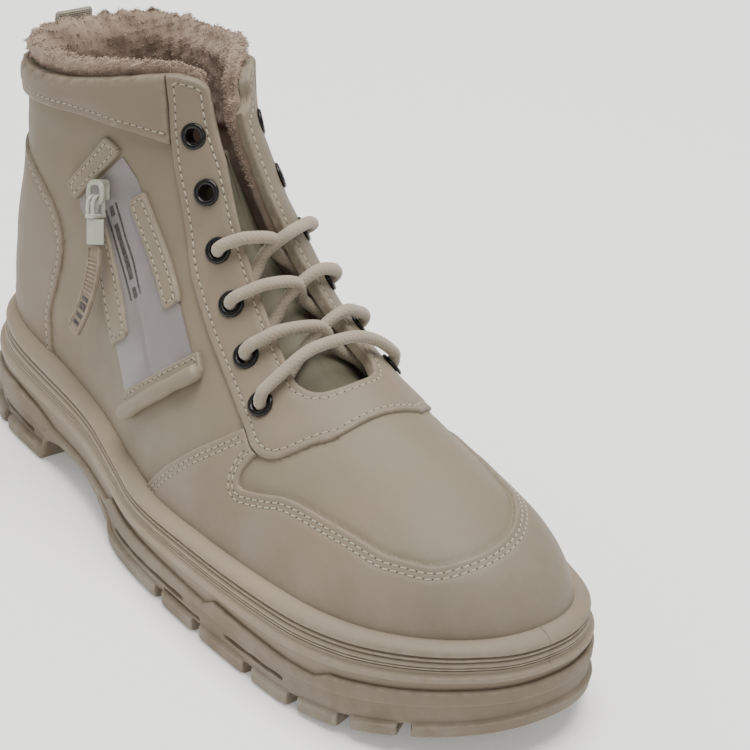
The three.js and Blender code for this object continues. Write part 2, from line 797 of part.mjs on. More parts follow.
function makeBand() {
  const outline = [
    ...moved(bandFoot, 0, 0), [lastX(0.5), 2 * shaftHeight], [-lastLength, 2 * shaftHeight],
    [-lastLength, shaftHeight * bandFoot[0].up],
  ];
  const ring = trimmed(shell(seatGap, bandWall).intersect(sidePrism(outline)));
  return ring.subtract(eyestayPrism(edgeGap));
}

// Pile lining that rolls up over the collar's inside
function makeLining() {
  const line = (rise) => collarLine.map(([x, z]) => [x, z + rise]);
  const pile = lastSolid(-upperWall - seatGap).subtract(lastSolid(-upperWall - seatGap - liningThickness));
  const foot = line(-liningDepth);
  const below = sidePrism([
    [-lastLength, foot[0][1]], ...foot, [lastLength, foot.at(-1)[1]],
    [lastLength, -shaftHeight], [-lastLength, -shaftHeight],
  ]);
  return without(pile, [below, aboveLine(line(liningRise)), throatSolid(liningThickness / 2)]);
}

function makeInsole() {
  const low = (x) => platform(x) + seatGap;
  const floor = outlineRing(0, low).slice(0, outlineSteps + 1).map(([x, , z]) => [x, z]);
  const top = floor.map(([x, z]) => [x, z + insoleThickness]).reverse();
  return lastSolid(-upperWall - seatGap, rimDepth).intersect(sidePrism([...floor, ...top]));
}

// Tongue: a padded strip under the throat, close to the upper at its foot and below the lace above
function makeTongue() {
  const laceRoom = 2 * laceRadius + 4 * seatGap;
  const steps = 9;
  const across = 6;
  const startS = findSide(lastX(0.70), 0.42 * shaftHeight).s;
  const endS = findSide(lastX(0.36), 0.83 * shaftHeight).s;
  const rings = [];
  for (let i = 0; i <= steps; i += 1) {
    const share = i / steps;
    const s = mix(startS, endS, share);
    const dip = laceRoom * clamp(5 * share, 0, 1) + tongueDip * clamp(3 * share - 1, 0, 1);
    const top = -upperWall - 3 * seatGap - dip;
    const span = tongueHalf * mix(0.8, 1, clamp(4 * share, 0, 1)) * (i === steps ? 0.8 : 1);
    const reach = reachAt(s, span);
    const row = (out) => Array.from({ length: across + 1 }, (_, k) => (
      shellPoint(s, reach * (-1 + (2 * k) / across), out)
    ));
    rings.push([...row(top), ...row(top - tongueWall).reverse()]);
  }
  return loft(rings);
}

// How far round a section goes to be so wide each way from the front line
function reachAt(s, span) {
  let [low, high] = [0, 0.6];
  for (let turn = 0; turn < 30; turn += 1) {
    const middle = (low + high) / 2;
    const width = Math.abs(lastPoint(s, middle).y - lastPoint(s, 0).y);
    if (width < span) low = middle;
    else high = middle;
  }
  return low;
}

// Webbing loop at the back of the collar
function makeHeelLoop() {
  const wall = seatGap + bandWall + seatGap;
  const backAt = (z) => {
    let [low, high] = [toeRibs + cornerStep + 1, ribEnd];
    for (let turn = 0; turn < 30; turn += 1) {
      const middle = (low + high) / 2;
      if (rib(middle).back[1] < z) low = middle;
      else high = middle;
    }
    return rib(low).back[0] - wall;
  };
  const steps = 10;
  const run = (out) => Array.from({ length: steps + 1 }, (_, k) => {
    const share = k / steps;
    const z = mix(loopLow, loopHigh, share);
    return [backAt(z) - out * Math.sin(Math.PI * share) ** 0.5, z];
  });
  const outer = run(loopGap + loopStrap);
  const inner = run(loopGap).slice(1, -1).reverse();
  const pad = run(0).map(([x, z]) => [x, z]);
  const half = loopWidth / 2;
  const whole = sidePrism([...outer, ...pad.map(([x, z]) => [x, z]).reverse()], heelCentre - half, heelCentre + half);
  const hole = sidePrism([...inner, ...run(loopStrap).slice(1, -1)], heelCentre - loopWidth, heelCentre + loopWidth);
  return whole.subtract(hole);
}

// Eyelet: a crowned flange on a barrel through the stay
function eyeletGeometry() {
  const barrel = eyeletBore + eyeletBarrel;
  const depth = overlayWall + upperWall;
  const profile = [
    [eyeletBore, -depth], [barrel, -depth], [barrel, 0], [eyeletFlange, 0],
    [0.5 * (barrel + eyeletFlange), eyeletCrown], [eyeletBore, 0.5 * eyeletCrown],
    [eyeletBore, -depth],
  ];
  return new THREE.LatheGeometry(profile.map(([r, h]) => new THREE.Vector2(r, h)), eyeletSides);
}

// Lace: from above one eyelet, through the throat, to below the next one on the other side
const laceHigh = seatGap + overlayWall + seatGap + eyeletCrown + 2 * seatGap + laceRadius;
const laceLow = -(upperWall + 2 * seatGap + laceRadius);

function laceRun(row, side, next, profile) {
  const from = sidePlace(eyeletRows[row], side, 0);
  const to = sidePlace(eyeletRows[next], -side, 0);
  const place = (at, out) => shellPoint(mix(from.s, to.s, at), mix(from.v, to.v, at), out);
  const shares = Array.from({ length: laceSamples + 1 }, (_, k) => k / laceSamples);
  const open = shares.filter((at) => {
    const { x, y } = place(at, 0);
    return Math.abs(y - throatCentre) < throatHalf(x);
  });
  return rod(profile(open[0], open.at(-1)).map(([at, out]) => place(at, out)), laceRadius, 7);
}

// Half width of the throat at x
function throatHalf(x) {
  const k = throatLine.findIndex(([next]) => next <= x);
  if (k < 1) return 0;
  const [[x0, half0], [x1, half1]] = [throatLine[k - 1], throatLine[k]];
  return mix(half0, half1, (x - x0) / (x1 - x0));
}

// Places along a run and their height over the last, from the throat's edges
const underProfile = (enter, leave) => [
  [0, laceHigh], [enter / 2, laceHigh], [enter + 0.04, 0.85 * laceHigh],
  [mix(enter, leave, 0.55), mix(laceHigh, laceLow, 0.6)], [leave - 0.05, laceLow - seatGap],
  [mix(leave, 1, 0.5), laceLow], [1, laceLow],
];
const barProfile = () => [0, 0.25, 0.5, 0.75, 1].map((at) => [at, laceHigh]);

// Label on the lateral side
const lateralShell = (inner, wall, corners) => (
  shell(inner, wall).intersect(sidePrism(corners.map(placeOf), -ballWidth, 0))
);
const stripLevel = seatGap + ribbonWall + seatGap;
const labelTop = stripLevel + stripWall;

function makeRoll() {
  const place = (share) => {
    const row = {
      along: mix(rollEnds[0].along, rollEnds[1].along, share),
      up: mix(rollEnds[0].up, rollEnds[1].up, share),
    };
    return sidePlace(row, -1, seatGap + rollRadius).point;
  };
  return rod([0, 0.25, 0.5, 0.75, 1].map(place), rollRadius, 8);
}

// Zip slider and its pull. Their own frame lies on the wall at the hinge: x to the toe, y up the wall,
// z outwards, with the hinge along x
const limbCorner = (sliderLimb / 2) * Math.SQRT2;
const loopTurn = limbCorner + runningGap + pullWire;
const hingeOut = labelTop + runningGap + loopTurn + pullWire;

function hingeFrame() {
  const hinge = sidePlace(hingeAt, -1, hingeOut);
  const up = hinge.point.clone().sub(sidePlace(claspAt, -1, hingeOut).point).normalize();
  const out = hinge.normal.clone().addScaledVector(up, -hinge.normal.dot(up)).normalize();
  const frame = new THREE.Group();
  frame.position.copy(hinge.point);
  frame.quaternion.setFromRotationMatrix(new THREE.Matrix4().makeBasis(up.clone().cross(out), up, out));
  return frame;
}

const box = (wide, high, deep, x, y, z) => solidOf(new THREE.BoxGeometry(wide, high, deep).translate(x, y, z));

function makeSlider() {
  const top = sliderLimb / 2 + sliderHole + sliderLimb;
  const middle = (top - sliderLimb / 2) / 2;
  const corner = sliderWidth / 4;
  const half = sliderWidth / 2;
  const low = -sliderLimb / 2;
  const plate = [
    [-half, low + corner], [-half + corner, low], [half - corner, low], [half, low + corner],
    [half, top - corner], [half - corner, top], [-half + corner, top], [-half, top - corner],
  ];
  const ring = solidOf(extrude(plate, sliderLimb).translate(0, 0, -sliderLimb / 2))
    .subtract(box(sliderWidth - 2 * sliderLimb, sliderHole, 2 * sliderLimb, 0, middle, 0));
  const foot = -hingeOut + labelTop + 2 * (seatGap + runningGap);
  const post = box(sliderWidth - 2 * corner, sliderLimb, -foot, 0, top - sliderLimb / 2, foot / 2);
  return ring.add(post);
}

function makePullLoop() {
  const stirrup = (x) => {
    const turn = [0, 0.25, 0.5, 0.75, 1].map((share) => new THREE.Vector3(
      x, loopTurn * Math.sin(Math.PI * share), loopTurn * Math.cos(Math.PI * share),
    ));
    const legs = [loopTurn, -loopTurn].map((z) => [0.5, 1].map((share) => (
      new THREE.Vector3(x, -pullLoopLength * share, z)
    )));
    return rod([...legs[0].reverse(), ...turn, ...legs[1]], pullWire, 12);
  };
  const yoke = box(
    pullLoopSpread + 2 * pullWire, pullYoke, 2 * (loopTurn + pullWire),
    0, -pullLoopLength, 0,
  );
  return joined([stirrup(-pullLoopSpread / 2), stirrup(pullLoopSpread / 2), yoke]);
}

const claspTop = -pullLoopLength - pullYoke / 2 - seatGap;

function makeClasp() {
  const [wide, deep] = [claspWidth / 2, claspThickness / 2];
  const side = [[-wide, 0], [-0.6 * wide, -deep], [0.6 * wide, -deep], [wide, 0], [0.6 * wide, deep], [-0.6 * wide, deep]];
  return solidOf(extrude(side, claspHeight).rotateX(Math.PI / 2).translate(0, claspTop, 0));
}

function makeTag() {
  const steps = 8;
  const edge = (side) => Array.from({ length: steps + 1 }, (_, k) => {
    const share = k / steps;
    const lean = (2 * tagSwing * share) / tagLength;
    const half = (side * tagWidth) / 2;
    return [
      -tagSwing * share ** 2 + half * Math.cos(lean),
      claspTop - claspHeight - seatGap - tagLength * share - half * Math.sin(lean),
    ];
  });
  const strip = extrude([...edge(-1), ...edge(1).reverse()], tagThickness);
  return solidOf(strip.translate(0, 0, -tagThickness / 2));
}

const boot = new THREE.Group();

function addPart(name, shape, colour, roughness, metalness = 0, holder = boot) {
  const material = new THREE.MeshStandardMaterial({ color: colour, roughness, metalness });
  const mesh = new THREE.Mesh(shape.isBufferGeometry ? shape : geometryOf(shape), material);
  mesh.name = name;
  holder.add(mesh);
  return mesh;
}

const leather = [0xa79b88, 0.5];
addPart('outsole', makeOutsole(), 0x9c8f7d, 0.7);
addPart('midsole', makeMidsole(), 0xa69a88, 0.65);
addPart('insole', makeInsole(), 0xb9a79a, 0.95);
addPart('upper', makeUpper(), ...leather);
addPart('tongue', makeTongue(), 0x97907f, 0.6);
addPart('eyestay', makeEyestay(), ...leather);
addPart('mudguard', makeMudguard(), ...leather);
addPart('heel_counter', makeCounter(), ...leather);
addPart('collar_band', makeBand(), ...leather);
addPart('collar_lining', makeLining(), 0xb7a096, 1.0);
addPart('heel_loop', makeHeelLoop(), 0x9a8f80, 0.8);

Object.entries(sides).forEach(([name, side]) => {
  eyeletRows.forEach((row, k) => {
    const eyelet = addPart(`eyelet_${name}_${k + 1}`, eyeletGeometry(), 0x111111, 0.25, 0.2);
    const { point, normal } = sidePlace(row, side, seatGap + overlayWall + 1.5 * seatGap);
    eyelet.position.copy(point);
    eyelet.quaternion.setFromUnitVectors(THREE.Object3D.DEFAULT_UP, normal);
  });
});

const lastRow = eyeletRows.length - 1;
for (let row = lacedFrom; row < lastRow; row += 1) {
  const cross = bothSides((side) => laceRun(row, side, row + 1, underProfile));
  addPart(`lace_cross_${row - lacedFrom + 1}`, cross, 0xc2b8a6, 0.9);
}
addPart('lace_bar', laceRun(lastRow, -1, lastRow, barProfile), 0xc2b8a6, 0.9);

addPart('label_ribbon', lateralShell(seatGap, ribbonWall, ribbonCorners), 0x979095, 0.35);
addPart('label_tab', lateralShell(stripLevel, stripWall, tabCorners), ...leather);
addPart('label_strip_rear', lateralShell(stripLevel, stripWall, stripRearCorners), ...leather);
addPart('label_strip_front', lateralShell(stripLevel, stripWall, stripFrontCorners), ...leather);
addPart('label_roll', makeRoll(), ...leather);

const hinge = hingeFrame();
boot.add(hinge);
addPart('zip_slider', makeSlider(), 0xa5a596, 0.35, 0, hinge);
addPart('pull_loop', makePullLoop(), 0xb9b6a8, 0.25, 0, hinge);
addPart('pull_clasp', makeClasp(), 0xa5a596, 0.35, 0, hinge);
addPart('pull_tag', makeTag(), 0xa89a86, 0.6, 0, hinge);

export default boot;
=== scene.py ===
import math
import bpy
import numpy as np
from mathutils import Matrix, Vector, kdtree


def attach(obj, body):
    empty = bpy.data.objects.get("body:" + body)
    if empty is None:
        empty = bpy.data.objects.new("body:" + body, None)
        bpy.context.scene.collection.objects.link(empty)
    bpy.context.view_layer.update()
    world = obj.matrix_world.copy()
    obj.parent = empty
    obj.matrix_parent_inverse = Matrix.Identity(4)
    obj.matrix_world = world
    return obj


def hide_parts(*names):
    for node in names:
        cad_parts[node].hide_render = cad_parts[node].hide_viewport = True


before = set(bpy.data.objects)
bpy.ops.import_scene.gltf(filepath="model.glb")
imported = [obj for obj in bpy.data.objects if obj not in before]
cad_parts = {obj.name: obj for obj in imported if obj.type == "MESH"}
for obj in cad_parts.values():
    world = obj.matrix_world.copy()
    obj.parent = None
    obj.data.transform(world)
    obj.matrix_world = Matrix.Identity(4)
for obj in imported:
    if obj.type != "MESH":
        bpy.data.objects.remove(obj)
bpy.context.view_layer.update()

mm = 0.001


# camera at the photo's angle, floor and light
camera = {"place": (0.62209, -0.47710, 0.50836), "azimuth": 49.44, "height": 29.5, "roll": 5.89,
          "lens": 122.13, "sensor": 36, "shift": (-0.0309, 0.0249), "clipStart": 0.01}


def makeCamera():
    a, e, r = (math.radians(camera[k]) for k in ("azimuth", "height", "roll"))
    back = Vector((math.sin(a) * math.cos(e), -math.cos(a) * math.cos(e), math.sin(e)))
    right = Vector((math.cos(a), math.sin(a), 0))
    up = back.cross(right)
    right, up = right * math.cos(r) + up * math.sin(r), up * math.cos(r) - right * math.sin(r)
    data = bpy.data.cameras.new("camera")
    data.lens = camera["lens"]
    data.sensor_width = camera["sensor"]
    data.shift_x, data.shift_y = camera["shift"]
    data.clip_start = camera["clipStart"]
    obj = bpy.data.objects.new("camera", data)
    bpy.context.collection.objects.link(obj)
    turn = Matrix((right, up, back)).transposed().to_4x4()
    obj.matrix_world = Matrix.Translation(camera["place"]) @ turn
    bpy.context.scene.camera = obj


studio = {"floorSize": 12, "floorColour": (0.95, 0.95, 0.95, 1), "floorRough": 0.9, "floorGlow": 0.16,
          "world": (0.99, 0.985, 0.97, 1), "worldPower": 0.50, "aim": (0, 0, 0.06),
          "lights": [  # name, place, size, power, colour
                     ("keyLight", (-0.05, 0.20, 2.1), 1.6, 77, (1.0, 0.985, 0.95)),
                     ("fillLight", (1.5, -0.9, 1.0), 1.0, 5.5, (1.0, 0.99, 0.96)),
                     ("rearLight", (-1.5, -0.7, 1.2), 0.8, 4, (1.0, 0.99, 0.97))]}


def makeStudio():
    bpy.ops.mesh.primitive_plane_add(size=studio["floorSize"], location=(0, 0, 0))
    floor = bpy.context.object
    floor.name = "floor"
    mat = bpy.data.materials.new("paleFloor")
    mat.use_nodes = True
    shader = mat.node_tree.nodes["Principled BSDF"]
    shader.inputs["Base Color"].default_value = studio["floorColour"]
    shader.inputs["Roughness"].default_value = studio["floorRough"]
    shader.inputs["Emission Strength"].default_value = studio["floorGlow"]
    shader.inputs["Emission Color"].default_value = (1, 1, 1, 1)
    floor.data.materials.append(mat)
    world = bpy.data.worlds.new("studioWorld")
    world.use_nodes = True
    sky = world.node_tree.nodes["Background"]
    sky.inputs["Color"].default_value = studio["world"]
    sky.inputs["Strength"].default_value = studio["worldPower"]
    bpy.context.scene.world = world
    for name, place, size, power, colour in studio["lights"]:
        data = bpy.data.lights.new(name, "AREA")
        data.size, data.energy, data.color = size, power, colour
        light = bpy.data.objects.new(name, data)
        light.location = place
        light.rotation_euler = (Vector(studio["aim"]) - Vector(place)).to_track_quat("-Z", "Y").to_euler()
        bpy.context.collection.objects.link(light)


makeCamera()
makeStudio()
print("camera, floor and light are set")


# shader helpers, and the two groups that the materials share
def newGroup(name, ins, outs):
    group = bpy.data.node_groups.new(name, "ShaderNodeTree")
    for label, kind, value in ins:
        sock = group.interface.new_socket(label, in_out="INPUT", socket_type="NodeSocket" + kind)
        sock.default_value = value
    for label, kind in outs:
        group.interface.new_socket(label, in_out="OUTPUT", socket_type="NodeSocket" + kind)
    start = group.nodes.new("NodeGroupInput")
    end = group.nodes.new("NodeGroupOutput")
    return group, start, end


def feed(tree, node, sources):  # links sockets, and writes plain values
    for key, source in sources.items():
        if isinstance(source, bpy.types.NodeSocket):
            tree.links.new(source, node.inputs[key])
        else:
            node.inputs[key].default_value = source
    return node


def put(tree, kind, sources=None, **settings):
    node = tree.nodes.new("ShaderNode" + kind)
    for key, value in settings.items():
        setattr(node, key, value)
    return feed(tree, node, sources or {})


def noise(tree, place, scale, detail=4, rough=0.55, distort=0.0):
    return put(tree, "TexNoise", {"Vector": place, "Scale": scale, "Detail": detail, "Roughness": rough,
                                  "Distortion": distort}).outputs["Fac"]


def ramp(tree, value, low, high, toLow=0.0, toHigh=1.0):
    return put(tree, "MapRange", {"Value": value, "From Min": low, "From Max": high, "To Min": toLow,
                                  "To Max": toHigh}).outputs["Result"]


def maths(tree, kind, a, b):
    return put(tree, "Math", {0: a, 1: b}, operation=kind).outputs[0]


def blendColour(tree, factor, a, b):
    return put(tree, "Mix", {0: factor, 6: a, 7: b}, data_type="RGBA").outputs[2]


def tint(colour, share=1):  # the colour times one share, or one for each channel, with alpha 1
    return [c * k for c, k in zip(colour, np.broadcast_to(share, 3).tolist())] + [1]


def grainGroup():  # fine pebbled grain of coated leather, with slow unevenness
    tree, start, end = newGroup("leatherGrain", [("Place", "Vector", (0, 0, 0)), ("Size", "Float", 1400.0)],
                                [("Height", "Float"), ("Mottle", "Float")])
    cells = put(tree, "TexVoronoi", {"Vector": start.outputs["Place"], "Scale": start.outputs["Size"]},
                feature="SMOOTH_F1").outputs["Distance"]
    fine = noise(tree, start.outputs["Place"], 2600, 3)
    broad = noise(tree, start.outputs["Place"], 95, 4)
    pebble = maths(tree, "ADD", maths(tree, "MULTIPLY", cells, -0.5), maths(tree, "MULTIPLY", fine, 0.5))
    slow = noise(tree, start.outputs["Place"], 22, 5, 0.6)
    feed(tree, end, {"Height": maths(tree, "ADD", pebble, maths(tree, "MULTIPLY", broad, 0.8)),
                     "Mottle": ramp(tree, slow, 0.3, 0.7)})
    return tree


def wearGroup():  # dust low down, rubbed edges lightened also as a painted highlight, and painted shade in the hollow places
    tree, start, end = newGroup(
        "dustWearHighlightAndShade",
        [("Place", "Vector", (0, 0, 0)), ("Colour", "Color", (0.3, 0.27, 0.22, 1)), ("Dust", "Float", 0.3),
         ("DustTop", "Float", 0.05), ("RubAndHighlight", "Float", 0.4), ("HollowShade", "Float", 0.3)],
        [("Colour", "Color"), ("Mask", "Float")])
    place = start.outputs["Place"]
    up = put(tree, "SeparateXYZ", {"Vector": place}).outputs["Z"]
    low = ramp(tree, up, 0.0, start.outputs["DustTop"], 1.0, 0.0)
    patches = ramp(tree, noise(tree, place, 34, 6, 0.65), 0.42, 0.7)
    dust = maths(tree, "MULTIPLY", maths(tree, "MULTIPLY", low, patches), start.outputs["Dust"])
    geo = put(tree, "NewGeometry").outputs["Pointiness"]
    # rubbed edges: lightened as wear, and as a painted highlight along the edges
    edge = ramp(tree, geo, 0.515, 0.56)
    broken = ramp(tree, noise(tree, place, 260, 4), 0.35, 0.65)
    rubAndHighlight = maths(tree, "MULTIPLY", maths(tree, "MULTIPLY", edge, broken), start.outputs["RubAndHighlight"])
    # painted shade: the hollow places are darkened towards a near black
    deep = maths(tree, "MULTIPLY", ramp(tree, geo, 0.49, 0.44), start.outputs["HollowShade"])
    colour = blendColour(tree, dust, start.outputs["Colour"], (0.46, 0.42, 0.36, 1))
    colour = blendColour(tree, rubAndHighlight, colour, (0.52, 0.47, 0.39, 1))
    colour = blendColour(tree, deep, colour, (0.11, 0.09, 0.07, 1))
    feed(tree, end, {"Colour": colour, "Mask": maths(tree, "MAXIMUM", dust, deep)})
    return tree


leatherGrain = grainGroup()
dustWearHighlightAndShade = wearGroup()


def newMaterial(name, rough, **fixed):
    mat = bpy.data.materials.new(name)
    mat.use_nodes = True
    tree = mat.node_tree
    shader = feed(tree, tree.nodes["Principled BSDF"], {"Roughness": rough, **fixed})
    return mat, tree, shader, put(tree, "TexCoord").outputs["Object"]


def bump(tree, shader, height, depth, strength):
    node = put(tree, "Bump", {"Height": height, "Distance": depth, "Strength": strength})
    feed(tree, shader, {"Normal": node.outputs["Normal"]})


# painted shade: the share and ranges below darken the colour higher up the shaft (by height) and towards the
# toe (by x)
leatherLook = {"size": 1500.0, "warm": (1.07, 0.98, 0.95), "paintedShade": 0.36,
               "paintedShadeAt": (("Z", 0.085, 0.135), ("X", 0.085, 0.135)),
               "dust": 0.35, "dustTop": 0.075, "rubAndHighlight": 0.14, "hollowShade": 0.35, "uneven": 0.10, "smoother": 0.05,
               "dustRough": 0.2, "depth": 0.00012, "strength": 0.55}
# painted shade: the sole rubber's colour is darkened towards the toe
rubberLook = {"size": 2600.0, "warm": (1.08, 0.98, 0.92), "paintedShade": 0.4, "paintedShadeAt": (("X", 0.06, 0.13),),
              "dust": 0.4, "dustTop": 0.03, "rubAndHighlight": 0.25, "hollowShade": 0.45, "uneven": 0.12, "smoother": 0.06,
              "dustRough": 0.0, "depth": 0.00008, "strength": 0.5}
paintedShadeRed = 0.12  # red of the painted shade that darkens the upper shaft and the toe


def makeGrained(name, colour, look, rough, specular, grain=1.0):
    mat, tree, shader, place = newMaterial(name, rough, **{"Specular IOR Level": specular})
    skin = put(tree, "Group", node_tree=leatherGrain)
    feed(tree, skin, {"Place": place, "Size": look["size"]})
    mottle = skin.outputs["Mottle"]
    base = blendColour(tree, mottle, tint(colour), tint(colour, look["warm"]))
    apart = put(tree, "SeparateXYZ", {"Vector": place}).outputs
    # painted shade: the colour is darkened up the shaft and towards the toe
    masks = [ramp(tree, apart[axis], low, high) for axis, low, high in look["paintedShadeAt"]]
    paintedShade = masks[0]
    for mask in masks[1:]:
        paintedShade = maths(tree, "MAXIMUM", paintedShade, mask)
    dark = [paintedShadeRed * c / colour[0] for c in colour] + [1]
    base = blendColour(tree, maths(tree, "MULTIPLY", paintedShade, look["paintedShade"]), base, dark)
    wear = put(tree, "Group", node_tree=dustWearHighlightAndShade)
    feed(tree, wear, {"Place": place, "Colour": base, "Dust": look["dust"], "DustTop": look["dustTop"],
                      "RubAndHighlight": look["rubAndHighlight"], "HollowShade": look["hollowShade"]})
    matt = maths(tree, "ADD", maths(tree, "MULTIPLY", mottle, look["uneven"]), rough - look["smoother"])
    dusty = maths(tree, "MULTIPLY", wear.outputs["Mask"], look["dustRough"])
    feed(tree, shader, {"Base Color": wear.outputs["Colour"], "Roughness": maths(tree, "ADD", matt, dusty)})
    bump(tree, shader, skin.outputs["Height"], look["depth"] * grain, look["strength"])
    return mat


def makeLeather(name, colour, rough, specular, grain=1.0):
    return makeGrained(name, colour, leatherLook, rough, specular, grain)


def makeRubber(name, colour, rough=0.62):
    return makeGrained(name, colour, rubberLook, rough, 0.35)


def makePile(name, colour):
    sheen = {"Sheen Weight": 0.3, "Sheen Roughness": 0.6, "Sheen Tint": (1, 0.84, 0.74, 1)}
    mat, tree, shader, place = newMaterial(name, 0.95, **sheen, **{"Specular IOR Level": 0.05})
    clump = noise(tree, place, 210, 5, 0.65, 0.4)
    fibre = noise(tree, place, 1500, 3, 0.7)
    base = blendColour(tree, ramp(tree, clump, 0.34, 0.66), tint(colour, 0.84), tint(colour, 1.12))
    feed(tree, shader, {"Base Color": base})
    height = maths(tree, "ADD", clump, maths(tree, "MULTIPLY", fibre, 0.5))
    bump(tree, shader, height, 0.0007, 0.6)
    return mat


def makeThread(name, colour):
    mat, tree, shader, place = newMaterial(name, 0.75, **{"Sheen Weight": 0.2})
    fine = noise(tree, place, 2400, 3)
    feed(tree, shader, {"Base Color": blendColour(tree, fine, tint(colour, 0.78), tint(colour))})
    bump(tree, shader, fine, 0.00015, 0.6)
    return mat


leather = makeLeather("coatedLeather", (0.204, 0.172, 0.126), 0.56, 0.27, 1.5)
leatherPlug = makeLeather("vampLeather", (0.202, 0.174, 0.125), 0.58, 0.24, 1.5)
leatherSmall = makeLeather("labelLeather", (0.220, 0.190, 0.138), 0.54, 0.3, 1.8)
# painted shade: the tongue's leather is darkened because it lies deep in the throat
tongueLeatherShaded = makeLeather("tongueLeatherShaded", (0.118, 0.112, 0.078), 0.58, 0.22)
midsoleRubber = makeRubber("midsoleRubber", (0.250, 0.214, 0.160))
# painted shade: the dark colour of the parting line's groove
partingShade = makeRubber("partingShade", (0.095, 0.078, 0.058), 0.8)
outsoleRubber = makeRubber("outsoleRubber", (0.172, 0.143, 0.103), 0.66)
pile = makePile("pile", (0.262, 0.196, 0.152))
# painted light: a lighter copy of the pile colour for the fibres, against their own shade
pileLitCopy = makePile("pileLitCopy", (0.37, 0.285, 0.225))
thread = makeThread("thread", (0.40, 0.36, 0.27))
# painted shade: the dark colour of the needle holes
holeShade = makeThread("needleHole", (0.06, 0.046, 0.035))
print("main materials are made")


# the last, the form that the boot is built around, in millimetres
size = {"lastLength": 281, "ballWidth": 96, "shaftHeight": 165, "heelRound": 45, "toeRound": 66,
        "toeHeightRound": 42, "heelFullness": 2.8, "toeFullness": 2.3, "soleTopAtHeel": 44, "soleFlare": 9.5,
        "rimDepth": 8, "outsoleShare": 0.42, "lipHeight": 4, "upperWall": 2.8}
toeRibs = 8

planRows = [(0.000, 0.026, 0.385), (0.169, 0.026, 0.389), (0.297, 0.000, 0.380), (0.400, -0.023, 0.414),
            (0.461, -0.029, 0.450), (0.585, -0.008, 0.493), (0.753, 0.004, 0.490), (0.874, 0.004, 0.450),
            (1.000, 0.045, 0.415)]  # along, centre, half
soleTopRows = [(0.000, 1.00), (0.169, 0.90), (0.297, 0.818), (0.400, 0.71), (0.461, 0.68), (0.585, 0.725),
               (0.753, 0.795), (0.888, 0.88), (1.000, 1.00)]
treadRows = [(-0.04, 0.16), (0.00, 0.03), (0.03, 0.00), (0.80, 0.00), (0.88, 0.05), (0.95, 0.15),
             (1.04, 0.30)]
vampRows = [(0.621, 0.527, 1.85), (0.678, 0.497, 1.85), (0.749, 0.467, 1.85), (0.820, 0.442, 2.0),
            (0.900, 0.412, 2.3), (1.000, 0.400, 2.4)]  # along, up, fullness
shaftRows = [  # front, front up, back, back up, half, fullness
    (0.621, 0.527, 0.621, None, 0.494, 1.85), (0.566, 0.572, 0.553, None, 0.488, 1.8),
    (0.512, 0.628, 0.475, None, 0.455, 1.85), (0.465, 0.690, 0.383, None, 0.422, 1.95),
    (0.427, 0.758, 0.272, None, 0.396, 2.0), (0.398, 0.824, 0.151, None, 0.389, 2.0),
    (0.375, 0.880, 0.055, None, 0.385, 2.0), (0.368, 0.900, 0.015, None, 0.382, 2.0),
    (0.363, 0.915, 0.000, None, 0.380, 2.0), (0.357, 0.933, 0.000, 0.270, 0.380, 2.0),
    (0.347, 0.976, -0.004, 0.430, 0.370, 2.0), (0.339, 1.018, 0.003, 0.590, 0.365, 2.05),
    (0.331, 1.067, -0.002, 0.750, 0.370, 2.1), (0.325, 1.115, -0.012, 0.921, 0.380, 2.1)]
collarRows = [(-0.10, 0.860), (0.00, 0.867), (0.14, 0.900), (0.28, 0.980), (0.315, 0.990), (0.335, 0.975),
              (0.35, 0.93), (0.40, 0.90)]


def lookUp(rows, at, column=1, smooth=True):
    keys = np.array([row[0] for row in rows], float)
    vals = np.array([row[column] for row in rows], float)
    at = np.clip(at, keys[0], keys[-1])
    i = np.clip(np.searchsorted(keys, at, side="left") - 1, 0, len(keys) - 2)
    step = keys[i + 1] - keys[i]
    t = (at - keys[i]) / step
    if not smooth:
        return vals[i] + (vals[i + 1] - vals[i]) * t
    seg = np.diff(vals) / np.diff(keys)
    slope = np.concatenate([seg[:1], (seg[1:] + seg[:-1]) / 2, seg[-1:]])
    return ((2 * t**3 - 3 * t**2 + 1) * vals[i] + (t**3 - 2 * t**2 + t) * step * slope[i]
            + (3 * t**2 - 2 * t**3) * vals[i + 1] + (t**3 - t**2) * step * slope[i + 1])


def roundOff(distance, radius, fullness):
    t = 1 - np.clip(distance / radius, 0, 1)
    return (1 - t**fullness) ** (1 / fullness)


def mix(a, b, t):
    return a + (b - a) * t


def lastX(along):
    return (np.asarray(along) - 0.5) * size["lastLength"]


def alongOf(x):
    return x / size["lastLength"] + 0.5


def soleTop(x):
    return size["soleTopAtHeel"] * lookUp(soleTopRows, alongOf(x))


def treadLift(x):
    return size["soleTopAtHeel"] * lookUp(treadRows, alongOf(x), smooth=False)


def joint(x):
    return mix(treadLift(x), soleTop(x), size["outsoleShare"])


def platform(x):
    return soleTop(x) - size["rimDepth"]


def planCentre(along):
    return size["ballWidth"] * lookUp(planRows, along, 1)


def planHalf(along):
    heel = roundOff(along * size["lastLength"], size["heelRound"], size["heelFullness"])
    toe = roundOff((1 - along) * size["lastLength"], size["toeRound"], size["toeFullness"])
    return size["ballWidth"] * lookUp(planRows, along, 2) * heel * toe


heelCentre = float(planCentre(0.0))
swayEnd = 0.73 * size["shaftHeight"]
ribEnd = toeRibs + len(shaftRows) - 1
cornerStep = next(k for k, row in enumerate(shaftRows) if row[3] is not None) - 1
riseRows = [(k, float(platform(lastX(row[2]))) if row[3] is None else size["shaftHeight"] * row[3])
            for k, row in enumerate(shaftRows)]
stepRows = [(k,) + row for k, row in enumerate(shaftRows)]


def centreAt(x, z):
    low = np.clip(1.5 * (1 - z / swayEnd), 0, 1)
    return mix(heelCentre, planCentre(np.clip(alongOf(x), 0, 1)), low * low * (3 - 2 * low))


